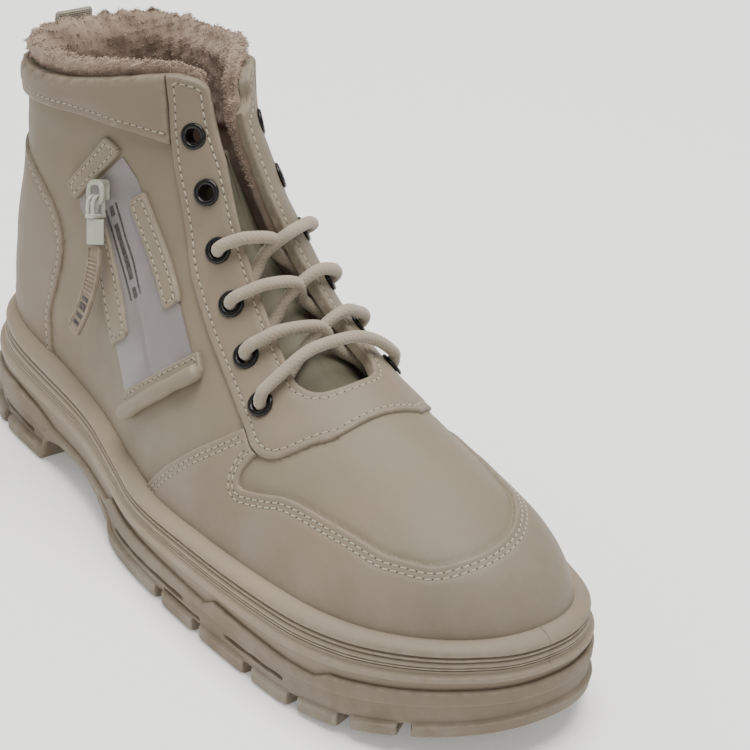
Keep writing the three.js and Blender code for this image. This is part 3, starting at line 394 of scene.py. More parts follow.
def ribs(s):  # front x and z, back x and z, half, foot, fullness of the sections s
    s = np.asarray(s, float)
    toeS = np.clip(s, 0, toeRibs)
    along = shaftRows[0][0] + (1 - shaftRows[0][0]) * np.cos(math.pi / 2 * toeS / toeRibs)
    x = lastX(along)
    low = platform(x)
    crest = size["shaftHeight"] * lookUp(vampRows, along, 1) - low
    drop = roundOff((1 - along) * size["lastLength"], size["toeHeightRound"], size["toeFullness"])
    half = planHalf(along)
    toe = [x, low + crest * drop, x, low, half, half, lookUp(vampRows, along, 2)]
    step = np.clip(s - toeRibs, 0, len(shaftRows) - 1)
    backX = lastX(lookUp(stepRows, step, 3))
    onSole = step <= cornerStep
    foot = np.where(onSole, planHalf(alongOf(backX)), 0)
    backZ = np.where(onSole, platform(backX), lookUp(riseRows[cornerStep:], step))
    shaft = [lastX(lookUp(stepRows, step, 1)), size["shaftHeight"] * lookUp(stepRows, step, 2), backX, backZ,
             np.maximum(size["ballWidth"] * lookUp(stepRows, step, 5), foot), foot, lookUp(stepRows, step, 6)]
    return [np.where(s <= toeRibs, a, b) for a, b in zip(toe, shaft)]


def unit(v):
    return v / np.linalg.norm(v, axis=-1, keepdims=True)


def lastPoint(s, v):
    frontX, frontZ, backX, backZ, half, foot, full = ribs(s)
    t = (1 + np.cos(math.pi * v)) / 2
    x, z = mix(backX, frontX, t), mix(backZ, frontZ, t)
    width = half * np.clip(1 - t**full, 0, 1) ** (1 / full)
    reach = np.hypot(frontX - backX, frontZ - backZ)
    ful = size["heelFullness"]
    start = 1 - (1 - np.clip(foot / np.maximum(half, 1e-9), 0, 1) ** ful) ** (1 / ful)
    heel = roundOff(t * reach + start * size["heelRound"], size["heelRound"], ful)
    width = width * np.where(np.asarray(s) > toeRibs, heel, 1)
    return np.stack([x, centreAt(x, z) + np.sign(v) * width, z], -1)


def normalAt(s, v):
    s, v = np.broadcast_arrays(np.asarray(s, float), np.asarray(v, float))
    onward = lastPoint(np.minimum(s + 0.02, ribEnd), v) - lastPoint(np.maximum(s - 0.02, 0), v)
    around = lastPoint(s, np.minimum(v + 0.01, 1)) - lastPoint(s, np.maximum(v - 0.01, -1))
    n = np.cross(around, onward)
    return n / np.maximum(np.linalg.norm(n, axis=-1, keepdims=True), 1e-9)


def shellPoint(s, v, out):
    return lastPoint(s, v) + normalAt(s, v) * np.asarray(out)[..., None]


def findSide(x, z):  # section and place on it that show at (x, z) from the side
    x, z = np.broadcast_arrays(np.asarray(x, float), np.asarray(z, float))
    low, high = np.full(x.shape, 0.3), np.full(x.shape, float(ribEnd))
    for _ in range(36):
        mid = (low + high) / 2
        fx, fz, bx, bz = ribs(mid)[:4]
        more = (fx - bx) * (z - bz) - (fz - bz) * (x - bx) > 0
        low, high = np.where(more, mid, low), np.where(more, high, mid)
    fx, fz, bx, bz = ribs(low)[:4]
    t = ((x - bx) * (fx - bx) + (z - bz) * (fz - bz)) / ((fx - bx) ** 2 + (fz - bz) ** 2)
    return low, np.arccos(np.clip(2 * t - 1, -1, 1)) / math.pi


def sidePlace(along, up, side, out=0.0):
    s, v = findSide(lastX(along), size["shaftHeight"] * np.asarray(up, float))
    return s, side * v, shellPoint(s, side * v, out), normalAt(s, side * v)


# meshes from the last's surface
def smoothLine(points, per=8):  # a rounded line through the points
    pts = np.array(points, float)
    ends = np.vstack([2 * pts[0] - pts[1], pts, 2 * pts[-1] - pts[-2]])
    out = []
    for i in range(1, len(ends) - 2):
        p0, p1, p2, p3 = ends[i - 1:i + 3]
        for t in np.linspace(0, 1, per, endpoint=False):
            out.append(0.5 * (2 * p1 + (p2 - p0) * t + (2 * p0 - 5 * p1 + 4 * p2 - p3) * t**2
                              + (3 * p1 - p0 - 3 * p2 + p3) * t**3))
    return np.array(out + [pts[-1]])


def polygonGap(poly, a, b):  # distance from the polygon's edge, positive inside
    poly = np.asarray(poly, float)
    nxt = np.roll(poly, -1, 0)
    best = np.full(a.shape, 1e9)
    inside = np.zeros(a.shape, bool)
    for (x0, y0), (x1, y1) in zip(poly, nxt):
        dx, dy = x1 - x0, y1 - y0
        t = np.clip(((a - x0) * dx + (b - y0) * dy) / max(dx * dx + dy * dy, 1e-12), 0, 1)
        best = np.minimum(best, (a - x0 - t * dx) ** 2 + (b - y0 - t * dy) ** 2)
        if y0 != y1:
            inside ^= ((y0 > b) != (y1 > b)) & (a < x0 + (b - y0) * dx / dy)
    return np.where(inside, 1, -1) * np.sqrt(best)


def lineGap(line, a, b):  # distance above a line that runs along x
    return b - np.interp(a, line[:, 0], line[:, 1])


class Skin:  # a stretch of the last's surface as (s, v) points and triangles
    def __init__(self, rows, columns):
        s, v = np.meshgrid(rows, columns, indexing="ij")
        self.sv = np.stack([s.ravel(), v.ravel()], -1)
        n = len(columns)
        a = (np.arange(len(rows) - 1)[:, None] * n + np.arange(n - 1)[None]).ravel()
        halves = [np.stack([a, a + 1, a + n + 1], -1), np.stack([a, a + n + 1, a + n], -1)]
        self.faces = np.concatenate(halves)

    def cut(self, value, keepBoth=False):  # keeps what has a value above 0, or only adds the line at 0
        value = value(self) if callable(value) else value
        value = np.where(np.abs(value) < 1e-7, 1e-7, value)
        inside = value > 0
        count = inside[self.faces].sum(1)
        whole = [self.faces[count == 3]]
        if keepBoth:
            whole.append(self.faces[count == 0])
        mixed = self.faces[(count == 1) | (count == 2)]
        lone = inside[mixed].sum(1) == 1
        odd = np.argmax(inside[mixed] == lone[:, None], axis=1)
        tri = np.stack([mixed[np.arange(len(mixed)), (odd + k) % 3] for k in range(3)], -1)
        pairs = np.concatenate([np.sort(tri[:, [0, 1]], 1), np.sort(tri[:, [0, 2]], 1)])
        unique, back = np.unique(pairs, axis=0, return_inverse=True)
        back = back.ravel()
        v0, v1 = value[unique[:, 0]], value[unique[:, 1]]
        t = (v0 / (v0 - v1))[:, None]
        fresh = self.sv[unique[:, 0]] * (1 - t) + self.sv[unique[:, 1]] * t
        ab, ac = back[:len(tri)] + len(self.sv), back[len(tri):] + len(self.sv)
        a, b, c = tri.T
        tip = np.stack([a, ab, ac], -1)
        rest = np.concatenate([np.stack([ab, b, c], -1), np.stack([ab, c, ac], -1)])
        twice = np.concatenate([lone, lone])
        if keepBoth:
            whole += [tip, rest]
        else:
            whole += [tip[lone], rest[~twice]]
        self.lastCut = np.stack([ab, ac], -1)
        self.sv = np.concatenate([self.sv, fresh])
        self.faces = np.concatenate(whole)
        return self.tidy()

    def tidy(self):
        used = np.zeros(len(self.sv), bool)
        used[self.faces.ravel()] = True
        index = np.cumsum(used) - 1
        self.lastCut = index[self.lastCut[used[self.lastCut].all(1)]]
        self.sv, self.faces = self.sv[used], index[self.faces]
        return self

    def copy(self):
        twin = Skin.__new__(Skin)
        twin.sv, twin.faces = self.sv.copy(), self.faces.copy()
        return twin

    def points(self, out=0.0):
        return shellPoint(self.sv[:, 0], self.sv[:, 1], np.broadcast_to(out, len(self.sv)))

    def rim(self):  # directed edges that only one triangle has
        edges = np.concatenate([self.faces[:, [0, 1]], self.faces[:, [1, 2]], self.faces[:, [2, 0]]])
        keys = np.sort(edges, 1)
        _, back, count = np.unique(keys, axis=0, return_inverse=True, return_counts=True)
        atBack = (np.abs(self.sv[edges, 1]) > 1 - 1e-7).all(1)  # the grid's two ends meet there
        return edges[(count[back.ravel()] == 1) & ~atBack]

    def rimGap(self, places, chosen=None):  # distance of each point from the rim
        edges = self.rim()
        ids = np.unique(edges)
        if chosen is not None:
            ids = ids[chosen[ids]]
        if not len(ids):
            return np.full(len(places), 1e3)
        tree = kdtree.KDTree(len(ids))
        for k, i in enumerate(ids):
            tree.insert(places[i], k)
        tree.balance()
        return np.array([tree.find(p)[2] for p in places])


def isoLines(skin, value):  # the (s, v) lines on which value is 0, as ordered lists
    twin = skin.copy().cut(value, keepBoth=True)
    after = {}
    for a, b in twin.lastCut:
        after.setdefault(a, []).append(b)
        after.setdefault(b, []).append(a)
    done, lines = set(), []
    starts = [k for k, n in after.items() if len(n) == 1] + list(after)
    for start in starts:
        if start in done:
            continue
        line, here = [start], start
        done.add(start)
        while True:
            onward = [k for k in after[here] if k not in done]
            if not onward:
                break
            here = onward[0]
            done.add(here)
            line.append(here)
        if here in after[start] and len(line) > 3:
            line.append(start)
        if len(line) > 3:
            lines.append(twin.sv[line])
    return lines


def ringWall(rings, n, closed=False):  # quads between rings that follow each other, and back to the first
    i = np.arange(n)
    after = (i + 1) % n
    quads = []
    for r, t in zip(range(rings), list(range(1, rings)) + [0] * closed):
        quads += np.stack([r * n + i, r * n + after, t * n + after, t * n + i], -1).tolist()
    return quads


def runOf(line):  # length along a line at each of its points
    return np.concatenate([[0], np.cumsum(np.linalg.norm(np.diff(line, axis=0), axis=1))])


def placeAt(line, run, at):
    return np.stack([np.interp(at, run, line[:, i]) for i in range(3)], -1)


def resample(path, step):
    path = np.asarray(path, float)
    run = runOf(path)
    at = np.linspace(0, run[-1], max(int(run[-1] / step), 4) + 1)
    return placeAt(path, run, at), at


def linkedObject(name, points, faces, mat):
    mesh = bpy.data.meshes.new(name)
    mesh.from_pydata((np.asarray(points) * mm).tolist(), [], faces)
    mesh.materials.append(mat)
    obj = bpy.data.objects.new(name, mesh)
    bpy.context.collection.objects.link(obj)
    return obj


def meshObject(name, points, faces, mat, smooth):
    obj = linkedObject(name, points, [list(map(int, f)) for f in faces], mat)
    obj.data.validate()
    bpy.ops.object.select_all(action="DESELECT")
    obj.select_set(True)
    bpy.context.view_layer.objects.active = obj
    bpy.ops.object.mode_set(mode="EDIT")
    bpy.ops.mesh.select_all(action="SELECT")
    bpy.ops.mesh.remove_doubles(threshold=0.000004)
    bpy.ops.mesh.normals_make_consistent(inside=False)
    bpy.ops.object.mode_set(mode="OBJECT")
    bpy.ops.object.shade_smooth_by_angle(angle=math.radians(smooth))
    obj.select_set(False)
    return obj


def wearsOn(obj, body, slot, *nodes):
    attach(obj, body)
    if nodes:
        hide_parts(*nodes)
    return obj


def closedSheet(name, skin, high, low, mat, smooth):  # a closed sheet between two sets of places
    n = len(skin.sv)
    a, b = skin.rim().T
    walls = [np.stack([b, a, a + n], -1), np.stack([b, a + n, b + n], -1)]
    faces = np.concatenate([skin.faces, skin.faces[:, ::-1] + n] + walls)
    return meshObject(name, np.concatenate([high, low]), faces, mat, smooth)


def thickSkin(name, skin, low, high, mat, smooth):  # a closed sheet between two heights over the last
    return closedSheet(name, skin, skin.points(high), skin.points(low), mat, smooth)


def roundedEdge(gap, radius):  # 0 at the edge, 1 from radius inwards
    t = 1 - np.clip(gap / radius, 0, 1)
    return np.sqrt(np.clip(1 - t * t, 0, 1))


def trough(gap, width):  # 1 along the line, fading out over width
    return np.exp(-(gap / width) ** 2)


def tubePoints(path, radius, sides, step, shape=None, squash=1.0):  # a round bar along a path
    path, at = resample(path, step)
    way = np.gradient(path, axis=0)
    way = unit(way)
    up = np.cross(way[0], [0.3, 0.2, 0.9])
    points = []
    for p, t, run in zip(path, way, at):
        up = up - t * (up @ t)
        up = unit(up)
        side = np.cross(t, up)
        turn = 2 * math.pi * np.arange(sides) / sides
        r = radius + (shape(run, turn) if shape else 0)
        r = np.broadcast_to(r, turn.shape)[:, None]
        points.append(p + r * (np.cos(turn)[:, None] * up + squash * np.sin(turn)[:, None] * side))
    points = np.concatenate(points)
    last = (len(path) - 1) * sides
    faces = ringWall(len(path), sides) + [list(range(sides))[::-1], list(range(last, last + sides))]
    return points, faces, at[-1]


# stitches: one small thread bar, copied along a row
stitch = {"length": 2.3, "pitch": 3.0, "radius": 0.36, "sink": 0.09, "reach": 0.4, "slant": 0.10, "arch": 0.9,
          "holeSides": 7, "holeRings": ((0.3, -0.2), (0.3, 0.02), (0.15, 0.08))}  # ring radius and height


def stitchBars(name, rows):
    ring = 6
    along = np.array([-0.5, -0.34, 0.34, 0.5])
    fat = np.array([0.25, 0.85, 0.85, 0.25])
    base = []
    for share, wide in zip(along, fat):
        for k in range(ring):
            turn = 2 * math.pi * k / ring
            base.append((share, wide * math.cos(turn), wide * math.sin(turn)))
    base = np.array(base)
    one = ringWall(4, ring) + [list(range(ring))[::-1], list(range(3 * ring, 4 * ring))]
    points, faces = [], []
    for line, normals in rows:
        run = runOf(line)
        for k in range(int(run[-1] / stitch["pitch"])):
            at = (k + 0.5) * stitch["pitch"]
            here, ahead = (placeAt(line, run, at + d) for d in (-stitch["reach"], stitch["reach"]))
            n = placeAt(normals, run, at)
            t = (ahead - here) / np.linalg.norm(ahead - here)
            side = np.cross(n, t)
            side = unit(side)
            n = np.cross(t, side)
            t = t + stitch["slant"] * side
            t = unit(t)
            side = np.cross(n, t)
            r = stitch["radius"]
            centre = (here + ahead) / 2 + n * (r * 0.35 - stitch["sink"])
            local = base * [stitch["length"], r, r]
            local[:, 2] -= stitch["arch"] * r * (2 * np.abs(base[:, 0])) ** 3
            start = len(base) * len(points)
            points.append(centre + local[:, :1] * t + local[:, 1:2] * side + local[:, 2:] * n)
            faces += [[start + i for i in f] for f in one]
    wearsOn(meshObject(name, np.concatenate(points), faces, thread, 60), "boot", "overlay_leather")
    wearsOn(meshObject(name + "_holes", *needleHoles(rows), holeShade, 60), "boot", "overlay_leather")


def needleHoles(rows):  # small dark dimples where the thread goes in, painted dark as the shade inside the holes
    sides = stitch["holeSides"]
    turn = 2 * math.pi * np.arange(sides) / sides
    one = ringWall(3, sides) + [list(range(sides))[::-1], list(range(2 * sides, 3 * sides))]
    points, faces = [], []
    for line, normals in rows:
        run = runOf(line)
        for k in range(int(run[-1] / stitch["pitch"]) + 1):
            at = k * stitch["pitch"]
            here, n = placeAt(line, run, at), placeAt(normals, run, at)
            n = unit(n)
            a = np.cross(n, [0.2, 0.1, 0.9])
            a = unit(a)
            b = np.cross(n, a)
            start = len(points)
            for r, h in stitch["holeRings"]:
                points += [here + r * (math.cos(q) * a + math.sin(q) * b) + h * n for q in turn]
            faces += [[start + i for i in f] for f in one]
    return np.array(points), faces


def stitchRow(sv, out):  # a row's places and normals, from an (s, v) line at a height over the worn skin
    s, v = sv[:, 0], sv[:, 1]
    return shellPoint(s, v, out + bodyHeight(lastPoint(s, v), v)), normalAt(s, v)


# upper: vamp plug and quarters as one closed skin, open at the collar and the throat
fine = 0.105
rowsAll = np.concatenate([np.linspace(0.25, toeRibs, int(7.75 / (0.8 * fine))),
                          np.linspace(toeRibs, ribEnd, int((ribEnd - toeRibs) / fine))[1:]])
columnsAll = np.linspace(-1, 1, 231)

farX, farZ = size["lastLength"], 2 * size["shaftHeight"]  # well past the boot, to close an outline there
farAway = 1e2
collarLine = smoothLine([(lastX(a), size["shaftHeight"] * u) for a, u in collarRows], 10)
throatCentre = heelCentre - 3
throatWide, throatTop = 15.0, 4.5  # half widths at the foot and at the top
throatSide = [(lastX(0.645), 0.35 * throatWide), (lastX(0.632), 0.8 * throatWide), (lastX(0.605), throatWide),
              (lastX(0.380), throatTop), (lastX(0.150), throatTop)]
throatFoot = smoothLine([(0.604, 1.0), (0.612, 0.97), (0.628, 0.84), (0.638, 0.62), (0.643, 0.3),
                         (0.6445, 0.0)], 6)
throatHalfLine = [(lastX(a), throatWide * h) for a, h in throatFoot[::-1]] + throatSide[3:]
throatPoly = ([(x, throatCentre - h) for x, h in throatHalfLine]
              + [(x, throatCentre + h) for x, h in throatHalfLine[::-1]])
eyelets = [(0.339, 0.872), (0.381, 0.772), (0.427, 0.674), (0.478, 0.592), (0.534, 0.521), (0.591, 0.462)]
eyeletPlaces = {(side, k): sidePlace(a, u, side) for side in (-1, 1) for k, (a, u) in enumerate(eyelets)}


def belowCollar(skin, drop=0.0):
    p = skin.points()
    return -lineGap(collarLine, p[:, 0], p[:, 2]) - drop


def aboveSole(skin, rise=0.0):
    p = skin.points()
    return p[:, 2] - soleTop(p[:, 0]) - rise


def outsideThroat(skin, more=0.0):
    p = skin.points()
    gap = -polygonGap(throatPoly, p[:, 0], p[:, 1]) - more
    return np.where(p[:, 2] > 0.4 * size["shaftHeight"], gap, farAway)


def outsideBores(skin, radius=3.2):
    p = skin.points()
    best = np.full(len(p), farAway)
    for _, _, point, normal in eyeletPlaces.values():
        d = p - point
        off = np.linalg.norm(np.cross(d, normal), axis=1) - radius
        best = np.minimum(best, np.where(np.abs(d @ normal) < 9, off, farAway))
    return best


def sidePoly(rows):
    return np.array([(float(lastX(a)), size["shaftHeight"] * u) for a, u in rows])


def sideLine(rows):
    return smoothLine(sidePoly(rows), 8)


def inSide(poly):  # distance inside a polygon seen from the side
    def value(skin):
        p = skin.points()
        return polygonGap(poly, p[:, 0], p[:, 2])
    return value


def lateralIn(poly):  # the same on the outer side only
    def value(skin):
        gap = inSide(poly)(skin)
        return np.where(skin.sv[:, 1] > 0, -np.abs(gap) - 1, gap)
    return value


# outlines of the overlays, seen from the side
eyestayLine = sideLine([(0.288, 1.06), (0.294, 0.985), (0.315, 0.842), (0.358, 0.729), (0.396, 0.640),
                        (0.435, 0.578), (0.490, 0.509), (0.554, 0.449), (0.601, 0.408), (0.615, 0.396),
                        (0.634, 0.391), (0.656, 0.402), (0.681, 0.441), (0.699, 0.472), (0.704, 0.600)])
eyestayPoly = np.vstack([eyestayLine, [(eyestayLine[-1][0], farZ), (eyestayLine[0][0], farZ)]])
guardRear = sideLine([(0.437, 0.100), (0.455, 0.175), (0.487, 0.249), (0.526, 0.318), (0.557, 0.366),
                      (0.592, 0.420)])
guardPoly = np.vstack([guardRear, [(guardRear[-1][0], farZ), (farX, farZ), (farX, 0)]])
plugLine = smoothLine([  # the vamp plug seen from above
    (39, -28), (35, -36), (34.2, -39.5), (36, -41), (41, -40.3), (48.4, -38.4),
    (55.3, -36.2), (65.4, -34.2), (82.3, -32), (98.4, -29.6), (105.5, -26.9),
    (114.1, -21.5), (118.3, -14.7), (120.1, -6), (119.1, 1.8), (116.6, 8.4),
    (112.4, 14.1), (105.8, 20), (96.6, 25.6), (82, 30), (65, 33.5), (55, 35.5),
    (48, 37.5), (41, 39), (36, 39.5), (34.2, 38), (35, 34), (39, 28)], 8)
counterLine = sideLine([(-0.060, 0.690), (0.030, 0.682), (0.085, 0.645), (0.132, 0.583), (0.153, 0.524),
                        (0.157, 0.450), (0.150, 0.370), (0.147, 0.322), (0.157, 0.255), (0.170, 0.150)])
counterPoly = np.vstack([counterLine, [(-farX, 0), (-farX, counterLine[0][1])]])
bandLine = sideLine([(-0.060, 0.770), (0.030, 0.795), (0.134, 0.821), (0.206, 0.836), (0.330, 0.842)])
bandPoly = np.vstack([bandLine, [(0, farZ), (-farX, farZ), (-farX, bandLine[0][1])]])


def bumpy(p, wave, seed, count=14):  # soft random swell over points in space
    r = np.random.default_rng(seed)
    k = r.normal(size=(count, 3))
    k *= 2 * math.pi / wave / np.linalg.norm(k, axis=1, keepdims=True) * r.uniform(0.7, 1.4, (count, 1))
    return np.sin(p @ k.T + r.uniform(0, 6.28, count)).sum(1) / math.sqrt(count)


def creases(p, v):  # soft troughs and swells of the worn skin, as heights in millimetres
    x, z = p[:, 0], p[:, 2]
    lateral = v < 0
    flex = lineGap(np.array([(10.0, 62.0), (38.0, 78.0), (60.0, 84.0)]), x, z)
    out = -0.35 * trough(flex, 4) * trough(x - 34, 16)
    for cx, cz, tilt, long, wide, deep in wrinkles:
        dx, dz = x - cx, z - cz
        a, b = dx * math.cos(tilt) + dz * math.sin(tilt), -dx * math.sin(tilt) + dz * math.cos(tilt)
        out = out + deep * np.exp(-(a / long) ** 2 - (b / wide) ** 2)
    swell = np.exp(-((x + 48) / 34) ** 2 - ((z - 88) / 40) ** 2)
    return out + np.where(lateral, 0.5, 0.2) * swell


wrinkles = [(-100, 76, 0.2, 26, 5, -0.5), (-96, 66, 0.35, 24, 4, -0.45), (-88, 122, -0.1, 26, 6, -0.4),
            (-58, 60, -0.5, 22, 5, -0.4), (-30, 118, 1.2, 14, 4, -0.35), (-8, 70, -0.9, 18, 5, -0.45),
            (-125, 95, 1.4, 22, 7, 0.4), (-20, 52, 0.1, 20, 6, 0.35), (60, 66, 0.2, 20, 9, 0.3)]


def bodyHeight(p, v):  # how far the worn skin lies over the last
    free = np.clip((p[:, 2] - soleTop(p[:, 0])) / 12, 0, 1) * np.clip((collarAt(p) - p[:, 2]) / 8, 0, 1)
    back = np.clip((60 - p[:, 0]) / 60, 0.35, 1)
    return (creases(p, v) + back * (0.17 * bumpy(p, 30, 61) + 0.07 * bumpy(p, 11, 62))) * free


def collarAt(p):
    return np.interp(p[:, 0], collarLine[:, 0], collarLine[:, 1])


def seamTree(skin, value):  # points along a seam, to measure true distances from it
    lines = [lastPoint(sv[:, 0], sv[:, 1]) for sv in isoLines(skin, value)]
    points = np.concatenate([resample(line, 0.25)[0] for line in lines])
    tree = kdtree.KDTree(len(points))
    for k, point in enumerate(points):
        tree.insert(point, k)
    tree.balance()
    return tree


def inPlug(skin):
    p = skin.points()
    gap = polygonGap(plugLine, p[:, 0], p[:, 1])
    return np.where(p[:, 2] > soleTop(p[:, 0]) + 8, gap, -np.abs(gap) - 1)


plugSeam = seamTree(Skin(rowsAll, columnsAll).cut(lambda k: aboveSole(k, 8)), inPlug)


def inGuard(skin):
    p = skin.points()
    plug = inPlug(skin)
    true = np.array([plugSeam.find(q)[2] if abs(g) < 14 else 14 for q, g in zip(p, plug)])
    return np.minimum(polygonGap(guardPoly, p[:, 0], p[:, 2]), -np.sign(plug) * true)


def makeUpper():
    skin = Skin(rowsAll, columnsAll)
    skin.cut(lambda k: aboveSole(k, -6)).cut(belowCollar).cut(outsideThroat).cut(outsideBores)
    p = skin.points()
    gap = skin.rimGap(p, p[:, 2] > soleTop(p[:, 0]) + 3)
    high = bodyHeight(p, skin.sv[:, 1]) - 0.5 * (1 - roundedEdge(gap, 1.0))
    gaps = [polygonGap(poly, p[:, 0], p[:, 2]) for poly in (eyestayPoly, counterPoly, bandPoly)]
    for edge in gaps + [inGuard(skin)]:  # the skin dips under each overlay's edge
        edge = -edge
        high = high - np.where(edge > 0, 0.4 * trough(edge, 1.8), 0)
    obj = thickSkin("boot_upper", skin, -size["upperWall"], high, leatherPlug, 35)
    wearsOn(obj, "boot", "upper_leather", "upper")


makeUpper()
print("upper is made")


def overlay(name, cuts, edge, wall, mat, node, rows, puff=0.0, level=0.12):
    skin = Skin(rowsAll, columnsAll)
    for value in cuts:
        skin.cut(value)
    seams = []
    for inset in rows:
        seams += [(inset, line) for line in isoLines(skin, lambda k: edge(k) - inset)]
        skin.cut(lambda k: edge(k) - inset, keepBoth=True)
    skin.cut(lambda k: edge(k) - 0.45, keepBoth=True)
    skin.cut(lambda k: edge(k) - 1.1, keepBoth=True)
    p = skin.points()
    gap = np.minimum(np.maximum(edge(skin), 0), skin.rimGap(p, p[:, 2] > soleTop(p[:, 0]) + 3))
    high = level + wall * (0.42 + 0.58 * roundedEdge(gap, 1.1))
    high = high + bodyHeight(p, skin.sv[:, 1])
    for inset in rows:
        high = high - 0.38 * trough(np.abs(edge(skin) - inset), 0.8)
    if puff:
        high = high + puff * np.clip(gap / 9, 0, 1) ** 0.6
    wearsOn(thickSkin(name, skin, -0.35, high, mat, 50), "boot", "overlay_leather", *([node] if node else []))
    stitchBars(name + "_stitches", [stitchRow(line, level + wall - 0.30 + puff * min(inset / 9, 1) ** 0.6)
                                    for inset, line in seams])


def atLeast(*values):
    return lambda skin: np.minimum.reduce([value(skin) for value in values])


def outside(value, gap):
    return lambda skin: -value(skin) - gap


inEyestay, inCounter, inBand = (inSide(p) for p in (eyestayPoly, counterPoly, bandPoly))
clearOfStay = outside(inEyestay, 0.3)
overlay("boot_mudguard", [lambda k: aboveSole(k, -1.5), inGuard, clearOfStay], inGuard, 1.25, leather,
        "mudguard", (2.5, 4.4))
overlay("boot_counter", [lambda k: aboveSole(k, -1.5), inCounter], inCounter, 1.1, leather, "heel_counter",
        (2.2,))
overlay("boot_band", [inBand, belowCollar, clearOfStay], inBand, 1.6, leather, "collar_band", (3.4,),
        puff=1.3)
overlay("boot_eyestay", [inEyestay, belowCollar, outsideThroat, lambda k: outsideBores(k, 3.1)],
        atLeast(inEyestay, outsideThroat, belowCollar), 1.3, leather, "eyestay", (2.4,))
print("overlays are made")

# sole: outlines at any offset from the last's outline, then midsole and outsole
outlineSteps = 22


def stepAt(along):
    return outlineSteps * np.arccos(np.clip(1 - 2 * np.asarray(along, float), -1, 1)) / math.pi


def outlineAt(step, side, out):
    def at(k):
        along = (1 - np.cos(math.pi * np.clip(k, 0, outlineSteps) / outlineSteps)) / 2
        return np.stack([lastX(along), planCentre(along) + side * planHalf(along)], -1)
    way = at(step + 0.2) - at(step - 0.2)
    way = unit(way)
    normal = side * np.stack([-way[..., 1], way[..., 0]], -1)
    normal = np.where(step[..., None] <= 0, [-1.0, 0.0], normal)
    normal = np.where(step[..., None] >= outlineSteps, [1.0, 0.0], normal)
    return at(step) + normal * np.asarray(out, float)[..., None]


outsole = {"lugHeight": 5.5, "lugGap": 4.2, "notchReach": 15, "channelDepth": 4.5, "slitDepth": 1.9,
           "hoodDepth": 1.3, "rows": 48,
           "taper": 0.07, "lugProud": 1.0, "lugCorner": 1.6, "footRound": 1.3, "footDrop": 1.1,
           "fieldSink": 0.7, "lipRound": 0.9, "notchShare": 0.55, "crownDrop": 0.6,
           "underRings": (8.0, 6.5, 4, 1, -3, -7.7, -8.2, -10.2, -12.2, -12.7),
           "edgeGaps": (0.015, 0.096, 0.553, 0.635, 0.738, 0.813, 0.877, 0.934),
           "middleGaps": (0.055, 0.130, 0.490, 0.555, 0.620, 0.685, 0.750)}
lipRows = [(-0.10, 0.30), (0.02, 0.30), (0.05, 0.85), (0.11, 1.25), (0.17, 0.90), (0.22, 0.20), (0.385, 0.20),
           (0.400, 1.00), (0.645, 0.25), (0.662, 1.00), (0.845, 0.30), (0.865, 0.95), (1.10, 0.80)]
waistRows = [(0.190, -0.05), (0.200, 0.21), (0.235, 0.27), (0.300, 0.28), (0.355, 0.20), (0.395, 0.08),
             (0.425, -0.05)]
slits = [(0.425, 0.600, 0.68, 1.1), (0.690, 0.800, 0.62, 1.1), (0.070, 0.160, 0.47, 1.2),
         (0.560, 0.640, 0.50, 0.8)]  # from, to, share of the height, width in mm

denseCount = 6001
denseT = np.linspace(0, 1, denseCount)
denseStep = outlineSteps * (denseT - np.sin(2 * math.pi * denseT) / (2 * math.pi))
denseLine = [outlineAt(denseStep, side, np.full(denseCount, size["soleFlare"])) for side in (-1, 1)]
denseRun = np.mean([runOf(line) for line in denseLine], axis=0)
notchRuns = np.interp(stepAt(outsole["edgeGaps"]), denseStep, denseRun)
runs = np.linspace(0, denseRun[-1], 250)
half = outsole["lugGap"] / 2
beside = (-half - 0.9, -half - 0.3, -half + 0.3, 0, half - 0.3, half + 0.3, half + 0.9)
extra = np.concatenate([notchRuns + d for d in beside])
runs = np.unique(np.concatenate([runs[np.min(np.abs(runs[:, None] - extra[None]), 1) > 0.25], extra]))
runs = runs[(runs >= 0) & (runs <= denseRun[-1])]
steps = np.interp(runs, denseRun, denseStep)
steps[0], steps[-1] = 0, outlineSteps
ringSteps = np.concatenate([steps, steps[-2:0:-1]])
ringSides = np.concatenate([np.full(len(steps), -1.0), np.full(len(steps) - 2, 1.0)])
ringRuns = np.interp(ringSteps, denseStep, denseRun)


def outlineRing(out):
    out = np.broadcast_to(np.asarray(out, float), ringSteps.shape)
    return np.where(ringSides[:, None] < 0, outlineAt(ringSteps, -1, out), outlineAt(ringSteps, 1, out))


def fillAcross(points, faces, ring, heightAt, count, flip=False):  # closes a ring with rungs across
    n = len(ring)
    top = n // 2
    base = len(points)
    extraPoints, rungs = [], [[ring[0]] * (count + 1)]
    for k in range(1, top):
        a, b = points[ring[k]], points[ring[n - k]]
        share = np.linspace(0, 1, count + 1)[1:-1, None]
        line = a + (b - a) * share
        line[:, 2] = heightAt(line[:, 0], line[:, 1])
        ids = list(range(base + len(extraPoints), base + len(extraPoints) + len(line)))
        extraPoints += list(line)
        rungs.append([ring[k]] + ids + [ring[n - k]])
    rungs.append([ring[top]] * (count + 1))
    fresh = []
    for r0, r1 in zip(rungs, rungs[1:]):
        for j in range(count):
            face = [r0[j], r0[j + 1], r1[j + 1], r1[j]]
            face = [f for i, f in enumerate(face) if f != face[i - 1]]
            if len(face) > 2:
                fresh.append(face[::-1] if flip else face)
    return np.concatenate([points, np.array(extraPoints)]), faces + fresh


